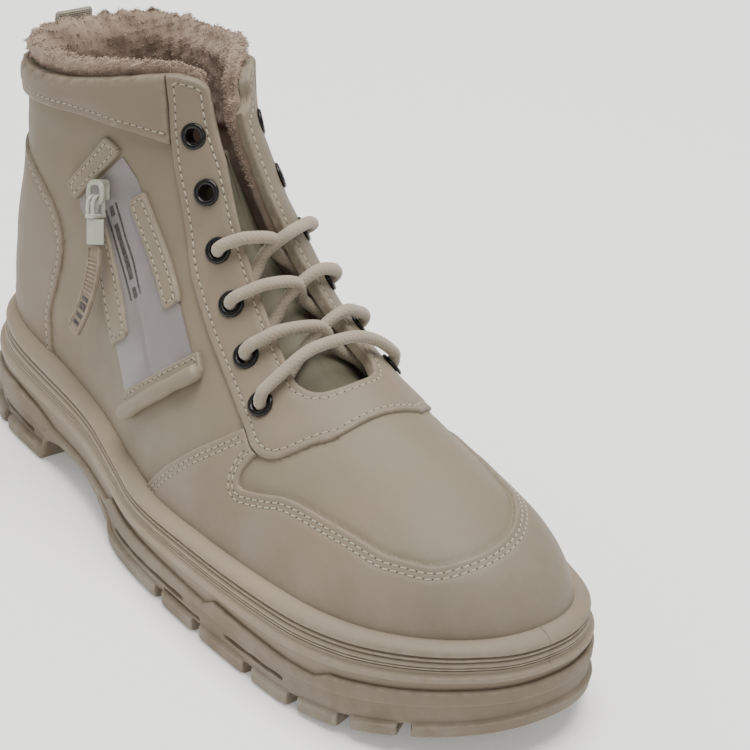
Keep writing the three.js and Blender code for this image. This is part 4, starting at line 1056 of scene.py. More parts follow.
midsoleSide = [  # share of the height over the joint, share of the flare
    (0.00, 0.84), (0.05, 0.80), (0.12, 0.775), (0.22, 0.775), (0.30, 0.80), (0.335, 0.84), (0.352, 0.90),
    (0.368, 0.925), (0.40, 0.935), (0.435, 0.93), (0.455, 0.905), (0.468, 0.85), (0.478, 0.78),
    (0.488, 0.755),
    (0.50, 0.745), (0.535, 0.745), (0.547, 0.74), (0.552, 0.70), (0.560, 0.69), (0.566, 0.70), (0.571, 0.745),
    (0.580, 0.75), (0.597, 0.745), (0.602, 0.70), (0.609, 0.69), (0.615, 0.70), (0.620, 0.74), (0.64, 0.74),
    (0.66, 0.73), (0.675, 0.71), (0.686, 0.66), (0.698, 0.635), (0.71, 0.66), (0.725, 0.69), (0.742, 0.70),
    (0.758, 0.69), (0.768, 0.65), (0.778, 0.61), (0.79, 0.62), (0.805, 0.67), (0.825, 0.70), (0.85, 0.705),
    (0.88, 0.69), (0.91, 0.645), (0.94, 0.565), (0.965, 0.46), (0.985, 0.34), (0.997, 0.20), (1.0, 0.10),
    (0.995, 0.02), (0.98, -0.05), (0.94, -0.09)]


def closedRings(rings, firstAt, firstRungs, lastAt, lastRungs):  # walls between rings, and both ends filled
    n = len(ringSteps)
    last = (len(rings) - 1) * n
    points, faces = np.concatenate(rings), ringWall(len(rings), n)
    points, faces = fillAcross(points, faces, list(range(n)), firstAt, firstRungs, True)
    return fillAcross(points, faces, list(range(last, last + n)), lastAt, lastRungs)


def wavy(xy):  # the moulded side isn't quite even
    return 0.12 * np.sin(xy[:, 0] * 0.05 + xy[:, 1] * 0.09)


def makeMidsole():
    rings = []
    for up, out in midsoleSide:
        xy = outlineRing(out * size["soleFlare"])
        rings.append(np.column_stack([xy, mix(joint(xy[:, 0]), soleTop(xy[:, 0]), up) + wavy(xy)]))
    xy = outlineRing(-1.2)
    rings.append(np.column_stack([xy, platform(xy[:, 0]) - 0.2 + wavy(xy)]))
    points, faces = closedRings(rings, lambda x, y: joint(x), 6, lambda x, y: platform(x) - 0.2, 6)
    wearsOn(meshObject("boot_midsole", points, faces, midsoleRubber, 50), "boot", "midsole", "midsole")


parting = {"at": 4.5, "radius": 0.26, "sink": 0.14}  # at, in mm to the wearer's left


def makePartingLine():  # hairline where the mould closed, over the rand at the toe, painted dark as the shade of its groove
    near = np.linspace(19, outlineSteps, 400)
    spot = outlineAt(near, 1, np.full(400, size["soleFlare"]))
    step = near[np.argmin(np.abs(spot[:, 1] - parting["at"]) + 100 * (spot[:, 0] < 120))]
    rows = np.array([row for row in midsoleSide if 0.28 < row[0] and row[1] > -0.02])
    xy = outlineAt(np.full(len(rows), step), 1, rows[:, 1] * size["soleFlare"] - parting["sink"])
    z = mix(joint(xy[:, 0]), soleTop(xy[:, 0]), rows[:, 0]) + wavy(xy)
    points, faces, _ = tubePoints(np.column_stack([xy, z]), parting["radius"], 6, 0.6)
    wearsOn(meshObject("toe_parting_line", points, faces, partingShade, 60), "boot", "midsole")


def soleFloor(x):
    along = alongOf(x)
    arch = np.interp(along, *zip(*waistRows), -1, -1)
    return np.maximum(treadLift(x), size["soleTopAtHeel"] * arch)


def softStep(value, low, high):
    t = np.clip((value - low) / (high - low), 0, 1)
    return t * t * (3 - 2 * t)


def makeOutsole():
    edge = outlineRing(size["soleFlare"])
    along = alongOf(edge[:, 0])
    floor, seam = soleFloor(edge[:, 0]), joint(edge[:, 0])
    lip = seam + size["lipHeight"] * np.interp(along, [r[0] for r in lipRows], [r[1] for r in lipRows])
    nearest = np.min(np.abs(ringRuns[:, None] - notchRuns[None]), axis=1)
    notch = 1 - softStep(nearest, half - 0.35, half + 0.35)
    inWaist = softStep(floor - treadLift(edge[:, 0]), 0.5, 3)
    gapTop = outsole["lugHeight"] / np.maximum(seam - floor, 6)
    rings = []
    for share in (r / outsole["rows"] for r in range(outsole["rows"] + 1)):
        z = floor + (lip - floor) * share
        w = (z - floor) / (seam - floor)
        h = z - floor
        out = size["soleFlare"] * (1 - outsole["taper"] * (1 - softStep(w, 0, 0.5)))
        lugZone = 1 - softStep(h, outsole["lugHeight"] - 0.5, outsole["lugHeight"] + 0.3)
        corner = np.clip(1 - (nearest - half) / outsole["lugCorner"], 0, 1) * (nearest > half)
        out += outsole["lugProud"] * (1 - 0.9 * corner**2) * lugZone * (1 - inWaist)
        out -= outsole["footDrop"] * np.clip(1 - h / outsole["footRound"], 0, 1) ** 2
        out -= outsole["fieldSink"] * softStep(w, gapTop, gapTop + 0.05) * (1 - softStep(w, 0.84, 0.9))
        out -= notch * lugZone * outsole["notchReach"] * outsole["notchShare"]
        out -= outsole["lipRound"] * np.clip(1 - (lip - z) / outsole["lipRound"], 0, 1) ** 2
        for low, high, at, wide in slits:
            run = softStep(along, low, low + 0.004) * (1 - softStep(along, high - 0.004, high))
            gap = np.abs(w * (seam - floor) - at * (seam - floor))
            out -= outsole["slitDepth"] * run * (1 - softStep(gap, wide / 2 - 0.15, wide / 2 + 0.25))
        a = np.clip((along - 0.03) / 0.165, 0, 1)
        top = 0.60 + 0.36 * np.sin(math.pi * a)
        hood = softStep(along, 0.03, 0.036) * (1 - softStep(along, 0.189, 0.195))
        out -= outsole["hoodDepth"] * hood * (1 - softStep(w, top - 0.04, top + 0.01)) * softStep(h, 5.3, 6.2)
        rings.append(np.column_stack([outlineRing(out), z]))
    rings = rings[::-1]  # from the lip down to the tread, then under the sole
    crown = [np.column_stack([outlineRing(size["soleFlare"] * f), z]) for f, z in
             ((0.55, seam - outsole["crownDrop"]), (0.70, seam - outsole["crownDrop"]), (0.72, lip - 0.15),
              (0.86, lip))]
    rings = crown + rings
    for out in outsole["underRings"]:
        xy = outlineRing(out)
        z = soleFloor(xy[:, 0])
        inChannel = softStep(-out, 7.8, 8.1) * (1 - softStep(-out, 12.3, 12.6))
        cut = np.maximum(notch * outsole["lugHeight"] * (out > -12.5), inChannel * outsole["channelDepth"])
        rings.append(np.column_stack([xy, z + cut * (1 - softStep(z - treadLift(xy[:, 0]), 0.5, 3))]))

    def treadAt(x, y):
        z = soleFloor(x)
        gap = np.min(np.abs(x[:, None] - lastX(outsole["middleGaps"])[None]), axis=1)
        return z + (1 - softStep(gap, 2.1, 2.9)) * outsole["channelDepth"] * (z < treadLift(x) + 0.5)
    points, faces = closedRings(rings, lambda x, y: joint(x) - outsole["crownDrop"], 6, treadAt, 14)
    points[:, 2] = np.maximum(points[:, 2], 0)
    wearsOn(meshObject("boot_outsole", points, faces, outsoleRubber, 42), "boot", "outsole", "outsole")


makeMidsole()
makePartingLine()
makeOutsole()
print("sole is made")


# pile: the roll over the collar, the inside of the shaft and the insole
pileLook = {"inner": -2.95, "half": 2.6, "rise": 8.3, "depth": 28, "throatRun": 12, "throatLow": 112,
            "tufts": 18000, "tuftLength": (0.35, 0.8), "tuftRadius": 0.15,
            "taper": 34}


def throatGap(p):
    return -polygonGap(throatPoly, p[:, 0], p[:, 1])


def tufts(places, normals):  # short bent fibres with three sides and a point
    count, radius = pileLook["tufts"], pileLook["tuftRadius"]
    r = np.random.default_rng(11)
    pick = r.integers(0, len(places), count)
    base = places[pick] + r.normal(0, 0.35, (count, 3))
    tilt = normals[pick] + r.normal(0, 0.45, (count, 3))
    tilt = unit(tilt)
    bend = tilt + r.normal(0, 0.5, (count, 3))
    bend = unit(bend)
    side = np.cross(tilt, r.normal(size=(count, 3)))
    side = unit(side)
    other = np.cross(tilt, side)
    long = r.uniform(*pileLook["tuftLength"], (count, 1))
    points = np.zeros((count, 7, 3))
    for k in range(3):
        turn = 2 * math.pi * k / 3
        spoke = side * math.cos(turn) + other * math.sin(turn)
        points[:, k] = base - 0.3 * tilt + radius * spoke
        points[:, 3 + k] = base + 0.55 * long * tilt + 0.7 * radius * spoke
    points[:, 6] = base + 0.55 * long * tilt + 0.45 * long * bend
    one = [[0, 1, 4, 3], [1, 2, 5, 4], [2, 0, 3, 5], [3, 4, 6], [4, 5, 6], [5, 3, 6], [2, 1, 0]]
    faces = [[i + 7 * c for i in f] for c in range(count) for f in one]
    wearsOn(linkedObject("pile_fibres", points.reshape(-1, 3), faces, pileLitCopy), "boot", "pile")


def rollRise(skin):  # how far the roll stands over the collar, less towards the throat
    gap = throatGap(skin.points())
    return pileLook["rise"] * (0.25 + 0.75 * softStep(gap, 0, pileLook["taper"]))


def makePileRoll():
    skin = Skin(rowsAll, columnsAll)
    skin.cut(lambda k: belowCollar(k) + rollRise(k)).cut(lambda k: outsideThroat(k, 1.6))
    skin.cut(lambda k: outsideBores(k, 4.7))

    def near(k):
        p = k.points()
        byCollar = p[:, 2] - collarAt(p) + pileLook["depth"]
        byThroat = np.minimum(pileLook["throatRun"] - throatGap(p), p[:, 2] - pileLook["throatLow"])
        return np.maximum(byCollar, byThroat)
    skin.cut(near)
    p = skin.points()
    above = p[:, 2] - collarAt(p)
    mid = pileLook["inner"] - pileLook["half"] + 3.2 * softStep(above, 0, 6)
    gap = skin.rimGap(p)
    fat = pileLook["half"] * (0.1 + 0.9 * roundedEdge(gap, 3.4))
    outer = np.minimum(mid + fat, np.where(above < 0.8, -2.9, 9))
    low, high = skin.points(mid - fat), skin.points(outer)
    n = normalAt(skin.sv[:, 0], skin.sv[:, 1])
    free = softStep(above, 0, 2)[:, None]
    inner = (0.45 + 0.55 * softStep(throatGap(p), 4, 20))[:, None]
    low -= n * inner * (0.65 * bumpy(low, 6.5, 3) + 0.2 * bumpy(low, 2.6, 5))[:, None]
    high += n * free * (0.55 * bumpy(high, 6.5, 9) + 0.2 * bumpy(high, 2.6, 6))[:, None]
    lift = (softStep(above, 3, 8) * 0.9 * bumpy(p, 7, 8))[:, None] * [0, 0, 1]
    low, high = low + lift, high + lift
    wearsOn(closedSheet("pile_roll", skin, high, low, pile, 80), "boot", "pile", "collar_lining")
    onTop, inSight = above > 0.5, above > -18
    ways = np.concatenate([n[onTop], -n[inSight]]) + [0, 0, 0.35]
    tufts(np.concatenate([high[onTop], low[inSight]]), ways)


def makeDeepLining():
    skin = Skin(np.linspace(0.5, ribEnd, 70), np.linspace(-1, 1, 81))
    skin.cut(lambda k: belowCollar(k, 6)).cut(lambda k: outsideThroat(k, 1.4))
    skin.cut(lambda k: k.points()[:, 2] - platform(k.points()[:, 0]) - 2.5)
    skin.cut(lambda k: outsideBores(k, 4.2))
    p = skin.points()
    high = np.full(len(p), -2.85)
    low = high - 0.9 - 0.35 * bumpy(p, 5, 2)
    wearsOn(thickSkin("shaft_pile", skin, low, high, pile, 80), "boot", "pile")


def makeInsole():
    rings = []
    for out, rise in ((-3.6, 0.3), (-3.3, 0.8), (-3.3, 3.4), (-3.8, 4.0), (-5.0, 4.25)):
        xy = outlineRing(out)
        rings.append(np.column_stack([xy, platform(xy[:, 0]) + rise]))

    def topAt(x, y):
        nap = 0.25 * bumpy(np.column_stack([x, y, 0 * x]), 6, 4)
        heelPrint = 0.9 * np.exp(-((x + 95) / 30) ** 2 - (y / 22) ** 2)
        return platform(x) + 4.25 + nap - heelPrint
    points, faces = closedRings(rings, lambda x, y: platform(x) + 0.3, 4, topAt, 26)
    wearsOn(meshObject("pile_insole", points, faces, pile, 70), "boot", "insole", "insole")


makePileRoll()
makeDeepLining()
makeInsole()
print("pile is made")


# tongue
tongue = {"half": 23.0, "wall": 3.0, "dip": 3.5, "room": 5.5, "gap": 0.3}


def reachAt(s, span):
    low, high = np.zeros(s.shape), np.full(s.shape, 0.6)
    for _ in range(30):
        middle = (low + high) / 2
        near = np.abs(lastPoint(s, middle)[:, 1] - lastPoint(s, 0 * s)[:, 1]) < span
        low, high = np.where(near, middle, low), np.where(near, high, middle)
    return low


def makeTongue():
    along, across = ((80, 40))
    startS = float(findSide(lastX(0.70), 0.42 * size["shaftHeight"])[0])
    endS = float(findSide(lastX(0.36), 0.83 * size["shaftHeight"])[0])
    share = np.linspace(0, 1, along)
    s = mix(startS, endS, share)
    dip = tongue["room"] * np.clip(5 * share, 0, 1) + tongue["dip"] * np.clip(3 * share - 1, 0, 1)
    top = -size["upperWall"] - 3 * tongue["gap"] - dip
    span = tongue["half"] * mix(0.8, 1, np.clip(4 * share, 0, 1)) * (1 - 0.2 * softStep(share, 0.9, 1))
    reach = reachAt(s, span)
    k = np.linspace(-1, 1, across)
    sv = np.stack(np.broadcast_arrays(s[:, None], reach[:, None] * k), -1)
    sg, vg = sv[..., 0].ravel(), sv[..., 1].ravel()
    topG = np.repeat(top, across)
    edge = np.minimum(np.minimum(1 - np.abs(np.tile(k, along)), 0.12) / 0.12,
                      np.minimum(np.repeat(1 - share, across), 0.04) / 0.04)
    p = lastPoint(sg, vg)
    pad = 0.3 * bumpy(p, 34, 21) - 0.35 * trough(np.tile(k, along) * tongue["half"], 3)
    thinner = 0.5 * (1 - roundedEdge(edge, 1)) * tongue["wall"] * 0.8
    high = shellPoint(sg, vg, topG - thinner + pad)
    low = shellPoint(sg, vg, topG - tongue["wall"] + thinner + pad)
    a = (np.arange(along - 1)[:, None] * across + np.arange(across - 1)[None]).ravel()
    quads = np.stack([a, a + 1, a + across + 1, a + across], -1)
    n = along * across
    border = ([(i, i + 1) for i in range(across - 1)]
              + [(across * i + across - 1, across * (i + 1) + across - 1) for i in range(along - 1)]
              + [((along - 1) * across + i + 1, (along - 1) * across + i) for i in range(across - 1)][::-1]
              + [(across * (i + 1), across * i) for i in range(along - 1)][::-1])
    faces = [list(q) for q in quads] + [list(q[::-1] + n) for q in quads]
    faces += [[b, a, a + n, b + n] for a, b in border]
    obj = meshObject("boot_tongue", np.concatenate([high, low]), faces, tongueLeatherShaded, 60)
    wearsOn(obj, "boot", "tongue_leather", "tongue")


makeTongue()
print("tongue is made")


# lace: one length through the eight laced eyelets
lace = {"radius": 2.2, "high": 5.45, "low": -5.55, "braid": 0.12, "pitch": 1.7, "strands": 6}


def throatHalf(x):
    line = throatSide[::-1]
    return np.interp(x, [q[0] for q in line], [q[1] for q in line], right=0)


def laceWay(row, side):  # from an eyelet over the stay, into the throat and under the next row's eyelet
    a, b = eyeletPlaces[(side, row)], eyeletPlaces[(-side, row + 1)]
    at = np.linspace(0, 1, 201)
    p = lastPoint(mix(a[0], b[0], at), mix(a[1], b[1], at))
    overThroat = at[np.abs(p[:, 1] - throatCentre) < throatHalf(p[:, 0])]
    enter, leave = overThroat[0], overThroat[-1]
    h, l = lace["high"], lace["low"]
    rows = [(0, l - 1.5), (0, -1.0), (0.0, 2.6), (0.022, 4.7), (0.06, h + 0.15), (enter / 2, h + 0.05),
            (enter + 0.04, 0.9 * h), (mix(enter, leave, 0.55), mix(h, l, 0.55) - 2.2 * side),
            (leave - 0.05, l - 0.3), (mix(leave, 1, 0.5), l), (0.975, l + 0.2)]
    s = [mix(a[0], b[0], q) for q, _ in rows]
    v = [mix(a[1], b[1], q) for q, _ in rows]
    return shellPoint(np.array(s), np.array(v), np.array([o for _, o in rows]))


def braid(run, turn):
    k = 2 * math.pi * run / lace["pitch"]
    strand = lace["strands"] * turn
    return lace["braid"] * (np.maximum(np.sin(k + strand), np.sin(k - strand)) - 0.4)


def makeLace():
    ways, back = ([laceWay(row, first * (-1) ** row) for row in (2, 3, 4)] for first in (-1, 1))
    left, right = eyeletPlaces[(-1, 5)], eyeletPlaces[(1, 5)]
    share = np.array([0, 0.03, 0.08, 0.3, 0.5, 0.7, 0.92, 0.97, 1.0])
    bar = shellPoint(mix(right[0], left[0], share), mix(right[1], left[1], share),
                     np.array([2.4, 4.6, 5.6, 5.6, 5.9, 5.6, 5.6, 4.6, 2.4]))
    up = [shellPoint(np.array([q[0]] * 2), np.array([q[1]] * 2), np.array(o))
          for q, o in ((right, [-5.2, -1.0]), (left, [-1.0, -5.2]))]
    path = np.concatenate(ways + [up[0], bar, up[1]] + [w[::-1] for w in back[::-1]])
    keep = np.concatenate([[True], np.linalg.norm(np.diff(path, axis=0), axis=1) > 0.6])
    path = smoothLine(path[keep], 14)
    path = path + 0.35 * np.stack([bumpy(path, 24, k) for k in (31, 32, 33)], -1)
    points, faces, long = tubePoints(path, lace["radius"], 30, 0.34, braid, 0.94)
    obj = meshObject("boot_lace", points, faces, laceCord, 75)
    wearsOn(obj, "boot", "lace", "lace_cross_1", "lace_cross_2", "lace_cross_3", "lace_bar")
    print("lace length in mm", round(long))


def makeCord(name, colour):
    mat, tree, shader, place = newMaterial(name, 0.8, **{"Sheen Weight": 0.25})
    # painted shade: the cord is darkened in the braid's hollow places
    braidShade = put(tree, "NewGeometry").outputs["Pointiness"]
    base = blendColour(tree, ramp(tree, braidShade, 0.42, 0.53), tint(colour, 0.5), tint(colour))
    dull = ramp(tree, noise(tree, place, 60, 4), 0.35, 0.75, 0.0, 0.5)
    feed(tree, shader, {"Base Color": blendColour(tree, dull, base, tint(colour, 0.85))})
    bump(tree, shader, noise(tree, place, 1900, 3), 0.00018, 0.7)
    return mat


laceCord = makeCord("laceCord", (0.325, 0.272, 0.203))
makeLace()


# eyelets: black rings with a rolled flange
eyeletShape = [(2.62, -5.3), (3.3, -5.35), (3.95, -5.1), (4.0, -4.85), (3.3, -4.75), (2.95, -4.6),
               (2.95, -0.2), (4.45, -0.1), (4.72, 0.05), (4.8, 0.3), (4.72, 0.6), (4.4, 0.95), (3.9, 1.12),
               (3.4, 1.05),
               (2.95, 0.8), (2.7, 0.4), (2.62, -0.1)]


def makeEyelets():
    mat, tree, shader, place = newMaterial("blackEnamel", 0.22, **{"Specular IOR Level": 0.32})
    spots = ramp(tree, noise(tree, place, 700, 4), 0.35, 0.65)
    black, dusty = (0.003, 0.003, 0.003, 1), (0.008, 0.007, 0.007, 1)
    feed(tree, shader, {"Base Color": blendColour(tree, spots, black, dusty),
                        "Roughness": ramp(tree, noise(tree, place, 320, 5), 0.3, 0.7, 0.16, 0.36)})
    bump(tree, shader, noise(tree, place, 900, 3), 0.00005, 0.4)
    turns = 36
    for (side, k), (_, _, point, normal) in eyeletPlaces.items():
        n = normal / np.linalg.norm(normal)
        x = np.cross(n, [0, 0, 1.0])
        x = unit(x)
        y = np.cross(n, x)
        centre = point + n * 1.5
        points = []
        for r, h in eyeletShape:
            for q in range(turns):
                a = 2 * math.pi * q / turns
                points.append(centre + r * (math.cos(a) * x + math.sin(a) * y) + h * n)
        name = "%s_%d" % ("lateral" if side < 0 else "medial", k + 1)
        obj = meshObject("ring_" + name, points, ringWall(len(eyeletShape), turns, True), mat, 60)
        wearsOn(obj, "boot", "eyelet", "eyelet_" + name)


makeEyelets()
print("lace and eyelets are made")


# side label: ribbon, tab, strips and the roll below
ribbonPoly = sidePoly([(0.248, 0.776), (0.467, 0.475), (0.368, 0.308), (0.180, 0.630)])
tabPoly = sidePoly([(0.158, 0.657), (0.219, 0.807), (0.246, 0.786), (0.178, 0.632)])
rearPoly = sidePoly([(0.209, 0.591), (0.233, 0.630), (0.343, 0.434), (0.314, 0.384)])
frontPoly = sidePoly([(0.274, 0.690), (0.294, 0.724), (0.412, 0.561), (0.393, 0.527)])


def makeSatin():
    mat, tree, shader, place = newMaterial("satinRibbon", 0.38, **{"Sheen Weight": 0.25})
    wave = put(tree, "TexWave", {"Vector": place, "Scale": 1500.0, "Distortion": 1.5, "Detail": 2.0})
    broad = noise(tree, place, 60, 4)
    base = blendColour(tree, broad, (0.165, 0.140, 0.136, 1), (0.204, 0.178, 0.171, 1))
    feed(tree, shader, {"Base Color": base, "Roughness": ramp(tree, broad, 0.3, 0.7, 0.34, 0.48)})
    height = maths(tree, "ADD", wave.outputs["Fac"], maths(tree, "MULTIPLY", broad, 3.0))
    bump(tree, shader, height, 0.0001, 0.5)
    return mat


def makeInk():
    mat, tree, shader, place = newMaterial("darkPrint", 0.6)
    worn = ramp(tree, noise(tree, place, 900, 5, 0.7), 0.36, 0.6)
    base = blendColour(tree, worn, (0.10, 0.085, 0.08, 1), (0.022, 0.018, 0.017, 1))
    feed(tree, shader, {"Base Color": base})
    bump(tree, shader, worn, 0.00005, 0.4)
    return mat


satin = makeSatin()
ink = makeInk()
ribbon = {"rise": 0.55, "swell": 0.25, "least": 0.25, "fold": 0.45, "wave": 0.35, "inkRise": 0.06,
          "bars": ((0.14, 0.60, -3.6, 0.5), (0.14, 0.19, -0.6, 1.1), (0.23, 0.51, -0.6, 1.1),
                   (0.55, 0.60, -0.6, 1.1), (0.14, 0.60, 2.4, 0.5))}  # bars: from, to, middle and half width


def makeRibbon():
    skin = Skin(rowsAll, columnsAll)
    skin.cut(lateralIn(ribbonPoly))
    p = skin.points()
    a, b = (ribbonPoly[0] + ribbonPoly[3]) / 2, (ribbonPoly[1] + ribbonPoly[2]) / 2
    total = np.linalg.norm(b - a)
    way = (b - a) / total
    long = (p[:, 0] - a[0]) * way[0] + (p[:, 2] - a[1]) * way[1]
    wide = -(p[:, 0] - a[0]) * way[1] + (p[:, 2] - a[1]) * way[0]
    folded = trough(wide + 1.0, 0.8) * softStep(long, 0.5 * total, 0.62 * total)
    high = ribbon["rise"] + ribbon["swell"] * bumpy(p, 18, 41) - ribbon["fold"] * folded
    ripple = np.sin(long / 6.5) * trough(wide - 8, 9) * softStep(long, 0.4 * total, total)
    high = high + ribbon["wave"] * ripple
    high = np.maximum(high, ribbon["least"]) + bodyHeight(p, skin.sv[:, 1])
    wearsOn(thickSkin("label_satin", skin, -0.5, high, satin, 60), "boot", "ribbon", "label_ribbon")
    across = np.array([-way[1], way[0]])
    for k, (low, far, at, reach) in enumerate(ribbon["bars"]):
        corners = [a + way * share * total + across * (at + w)
                   for share, w in ((low, -reach), (far, -reach), (far, reach), (low, reach))]
        bar = Skin(np.linspace(toeRibs, ribEnd, 500), np.linspace(-1, 0, 420))
        bar.cut(lateralIn(np.array(corners)))
        q = bar.points()
        over = np.maximum(ribbon["rise"] + ribbon["swell"] * bumpy(q, 18, 41), ribbon["least"])
        over = over + bodyHeight(q, bar.sv[:, 1])
        obj = thickSkin("label_bar_%d" % (k + 1), bar, over - 0.1, over + ribbon["inkRise"], ink, 60)
        wearsOn(obj, "boot", "ribbon")


makeRibbon()
for name, node, poly, level in (("label_fold", "label_tab", tabPoly, 1.0),
                                ("strip_rear", "label_strip_rear", rearPoly, 0.8),
                                ("strip_front", "label_strip_front", frontPoly, 0.8)):
    overlay(name, [lateralIn(poly)], lateralIn(poly), 1.25, leatherSmall, node, (1.7,), level=level)

roll = {"ends": ((0.378, 0.281), (0.490, 0.462)), "radius": 2.9, "flap": 7.0}


def makeRoll():
    share = np.linspace(0, 1, 60)
    (a0, u0), (a1, u1) = roll["ends"]
    place = sidePlace(mix(a0, a1, share), mix(u0, u1, share), -1, 0)
    path = place[2] + place[3] * (roll["radius"] - 0.3)
    long = float(np.linalg.norm(np.diff(path, axis=0), axis=1).sum())

    def shape(run, turn):
        end = np.clip(min(run, long - run) / 1.1, 0, 1)
        return 0.12 * np.sin(run / 3.1) + 0.08 * np.sin(run / 1.7 + 2 * turn) - 0.6 * (1 - end) ** 2
    points, faces, _ = tubePoints(path, roll["radius"], 28, 0.7, shape)
    obj = meshObject("label_tube", points, faces, leatherSmall, 60)
    wearsOn(obj, "boot", "overlay_leather", "label_roll")
    start, end = sidePoly(roll["ends"])
    way = end - start
    up = np.array([-way[1], way[0]]) / np.linalg.norm(way)
    line = np.linspace(start, end, 40)
    saw = np.array([0.5 * (k % 2) for k in range(40)])
    poly = np.concatenate([line, (line + up * (roll["flap"] + saw[:, None]))[::-1]])
    overlay("roll_flap", [lateralIn(poly)], lateralIn(poly), 1.0, leatherSmall, None, (1.6,), level=0.9)


makeRoll()
print("label is made")


# heel loop of webbing
loopLook = {"half": 7.5, "strap": 1.5, "gap": 3.2, "low": 112, "high": 152, "wall": 2.3}


def makeWebbing():
    mat, tree, shader, place = newMaterial("webbing", 0.8, **{"Sheen Weight": 0.3})
    wave = put(tree, "TexWave", {"Vector": place, "Scale": 420.0, "Distortion": 0.6}, bands_direction="Z")
    cross = put(tree, "TexWave", {"Vector": place, "Scale": 300.0, "Distortion": 0.6}, bands_direction="Y")
    weave = maths(tree, "MULTIPLY", wave.outputs["Fac"], cross.outputs["Fac"])
    base = blendColour(tree, weave, (0.20, 0.175, 0.14, 1), (0.36, 0.32, 0.26, 1))
    feed(tree, shader, {"Base Color": base})
    bump(tree, shader, weave, 0.0003, 0.8)
    z = np.linspace(loopLook["low"], loopLook["high"], 90)
    s = np.full(z.shape, float(toeRibs + cornerStep + 1))
    high = np.full(z.shape, float(ribEnd))
    for _ in range(34):
        middle = (s + high) / 2
        below = ribs(middle)[3] < z
        s, high = np.where(below, middle, s), np.where(below, high, middle)
    x = ribs(s)[2] - loopLook["wall"]
    share = np.linspace(0, 1, len(z))
    bow = np.sin(math.pi * share) ** 0.5
    path = np.stack([x - loopLook["gap"] * bow - loopLook["strap"] / 2, 0 * z + heelCentre, z], -1)
    inner = np.stack([x - 0.8, 0 * z + heelCentre, z], -1)[::-1]
    path = smoothLine(np.concatenate([path[::3], inner[2:-2:3], path[:1]]), 5)[:-1]
    way = np.roll(path, -1, 0) - np.roll(path, 1, 0)
    way = unit(way)
    out = np.cross(way, [0, 1.0, 0])
    w, t = loopLook["half"], loopLook["strap"] / 2
    section = [(-w, -0.5 * t), (-w + 0.5, -t), (w - 0.5, -t), (w, -0.5 * t), (w, 0.5 * t), (w - 0.5, t),
               (-w + 0.5, t), (-w, 0.5 * t)]
    rings = [path + np.array([0, 1.0, 0]) * a + out * b for a, b in section]
    obj = meshObject("heel_webbing", np.concatenate(rings), ringWall(len(rings), len(path), True), mat, 45)
    wearsOn(obj, "boot", "webbing", "heel_loop")


makeWebbing()
print("heel loop is made")


# zip slider and its pull, in their own frame: x to the toe, y up the wall, z outwards
pullFrame = Matrix(((0.926704, -0.3527, 0.1296, -0.074154), (0.205826, 0.1878, -0.9604, -0.031782),
                    (0.314411, 0.9167, 0.2466, 0.110201), (0, 0, 0, 1)))


def inPullFrame(points):
    m = np.array(pullFrame)
    return (np.asarray(points) * mm @ m[:3, :3].T + m[:3, 3]) / mm


def makePlastic(name, colour, rough, coat=0.2, alpha=1.0):
    mat, tree, shader, place = newMaterial(name, rough, **{"Coat Weight": coat, "Alpha": alpha})
    cloud = noise(tree, place, 240, 4)
    feed(tree, shader, {"Base Color": blendColour(tree, cloud, tint(colour, 0.82), tint(colour)),
                        "Roughness": ramp(tree, cloud, 0.3, 0.7, rough - 0.06, rough + 0.1)})
    bump(tree, shader, noise(tree, place, 700, 3), 0.00006, 0.35)
    return mat


plastic = makePlastic("sliderPlastic", (0.40, 0.40, 0.33), 0.34)
clear = makePlastic("clearPlastic", (0.55, 0.55, 0.48), 0.18, 0.5, 0.82)
tagRubber = makeRubber("tagRubber", (0.215, 0.18, 0.135), 0.58)


def joinFaces(parts):
    points, faces, base = [], [], 0
    for p, f in parts:
        points.append(np.asarray(p))
        faces += [[i + base for i in q] for q in f]
        base += len(p)
    return np.concatenate(points), faces


def bevelled(bevel, segments):  # rounds the active primitive, and takes its points and faces over
    obj = bpy.context.object
    bpy.ops.object.transform_apply(location=False, rotation=True, scale=True)
    mod = obj.modifiers.new("bevel", "BEVEL")
    mod.width, mod.segments = bevel, segments
    bpy.ops.object.modifier_apply(modifier=mod.name)
    points = np.array([v.co[:] for v in obj.data.vertices])
    faces = [list(f.vertices) for f in obj.data.polygons]
    bpy.data.objects.remove(obj, do_unlink=True)
    return points, faces


def roundBlock(wide, high, deep, centre, bevel, segments=3):
    bpy.ops.object.select_all(action="DESELECT")
    bpy.ops.mesh.primitive_cube_add(size=1, location=(0, 0, 0))
    bpy.context.object.scale = (wide, high, deep)
    points, faces = bevelled(bevel, segments)
    return points + centre, faces


def hexBlock(wide, deep, high, top, bevel):
    bpy.ops.object.select_all(action="DESELECT")
    bpy.ops.mesh.primitive_cylinder_add(vertices=6, radius=1, depth=high, rotation=(math.pi / 2, 0, 0))
    points, faces = bevelled(bevel, 3)
    reach = np.abs(points).max(0)
    return (points / reach)[:, [2, 1, 0]] * [wide / 2, high / 2, deep / 2] + [0, top - high / 2, 0], faces


def ovalRing(wide, high, centre, radius):
    turn = np.linspace(0, 2 * math.pi, 48, endpoint=False)
    path = np.stack([wide * np.sign(np.cos(turn)) * np.abs(np.cos(turn)) ** 0.75,
                     centre + high * np.sign(np.sin(turn)) * np.abs(np.sin(turn)) ** 0.75, 0 * turn], -1)
    way = np.roll(path, -1, 0) - np.roll(path, 1, 0)
    way = unit(way)
    side = np.cross(way, [0, 0, 1.0])
    rings = [path + radius * (side * math.cos(a) + np.array([0, 0, 1.0]) * math.sin(a) * 0.95)
             for a in (2 * math.pi * k / 12 for k in range(12))]
    return np.concatenate(rings), ringWall(12, len(path), True)


pull = {"loopTurn": 2.614, "spread": 1.3, "wire": 0.75, "loopLength": 4.5, "claspTop": -5.6, "claspHigh": 9.0,
        "tagLength": 32.0, "tagWide": 6.6, "tagThick": 2.4, "swing": 12.0}


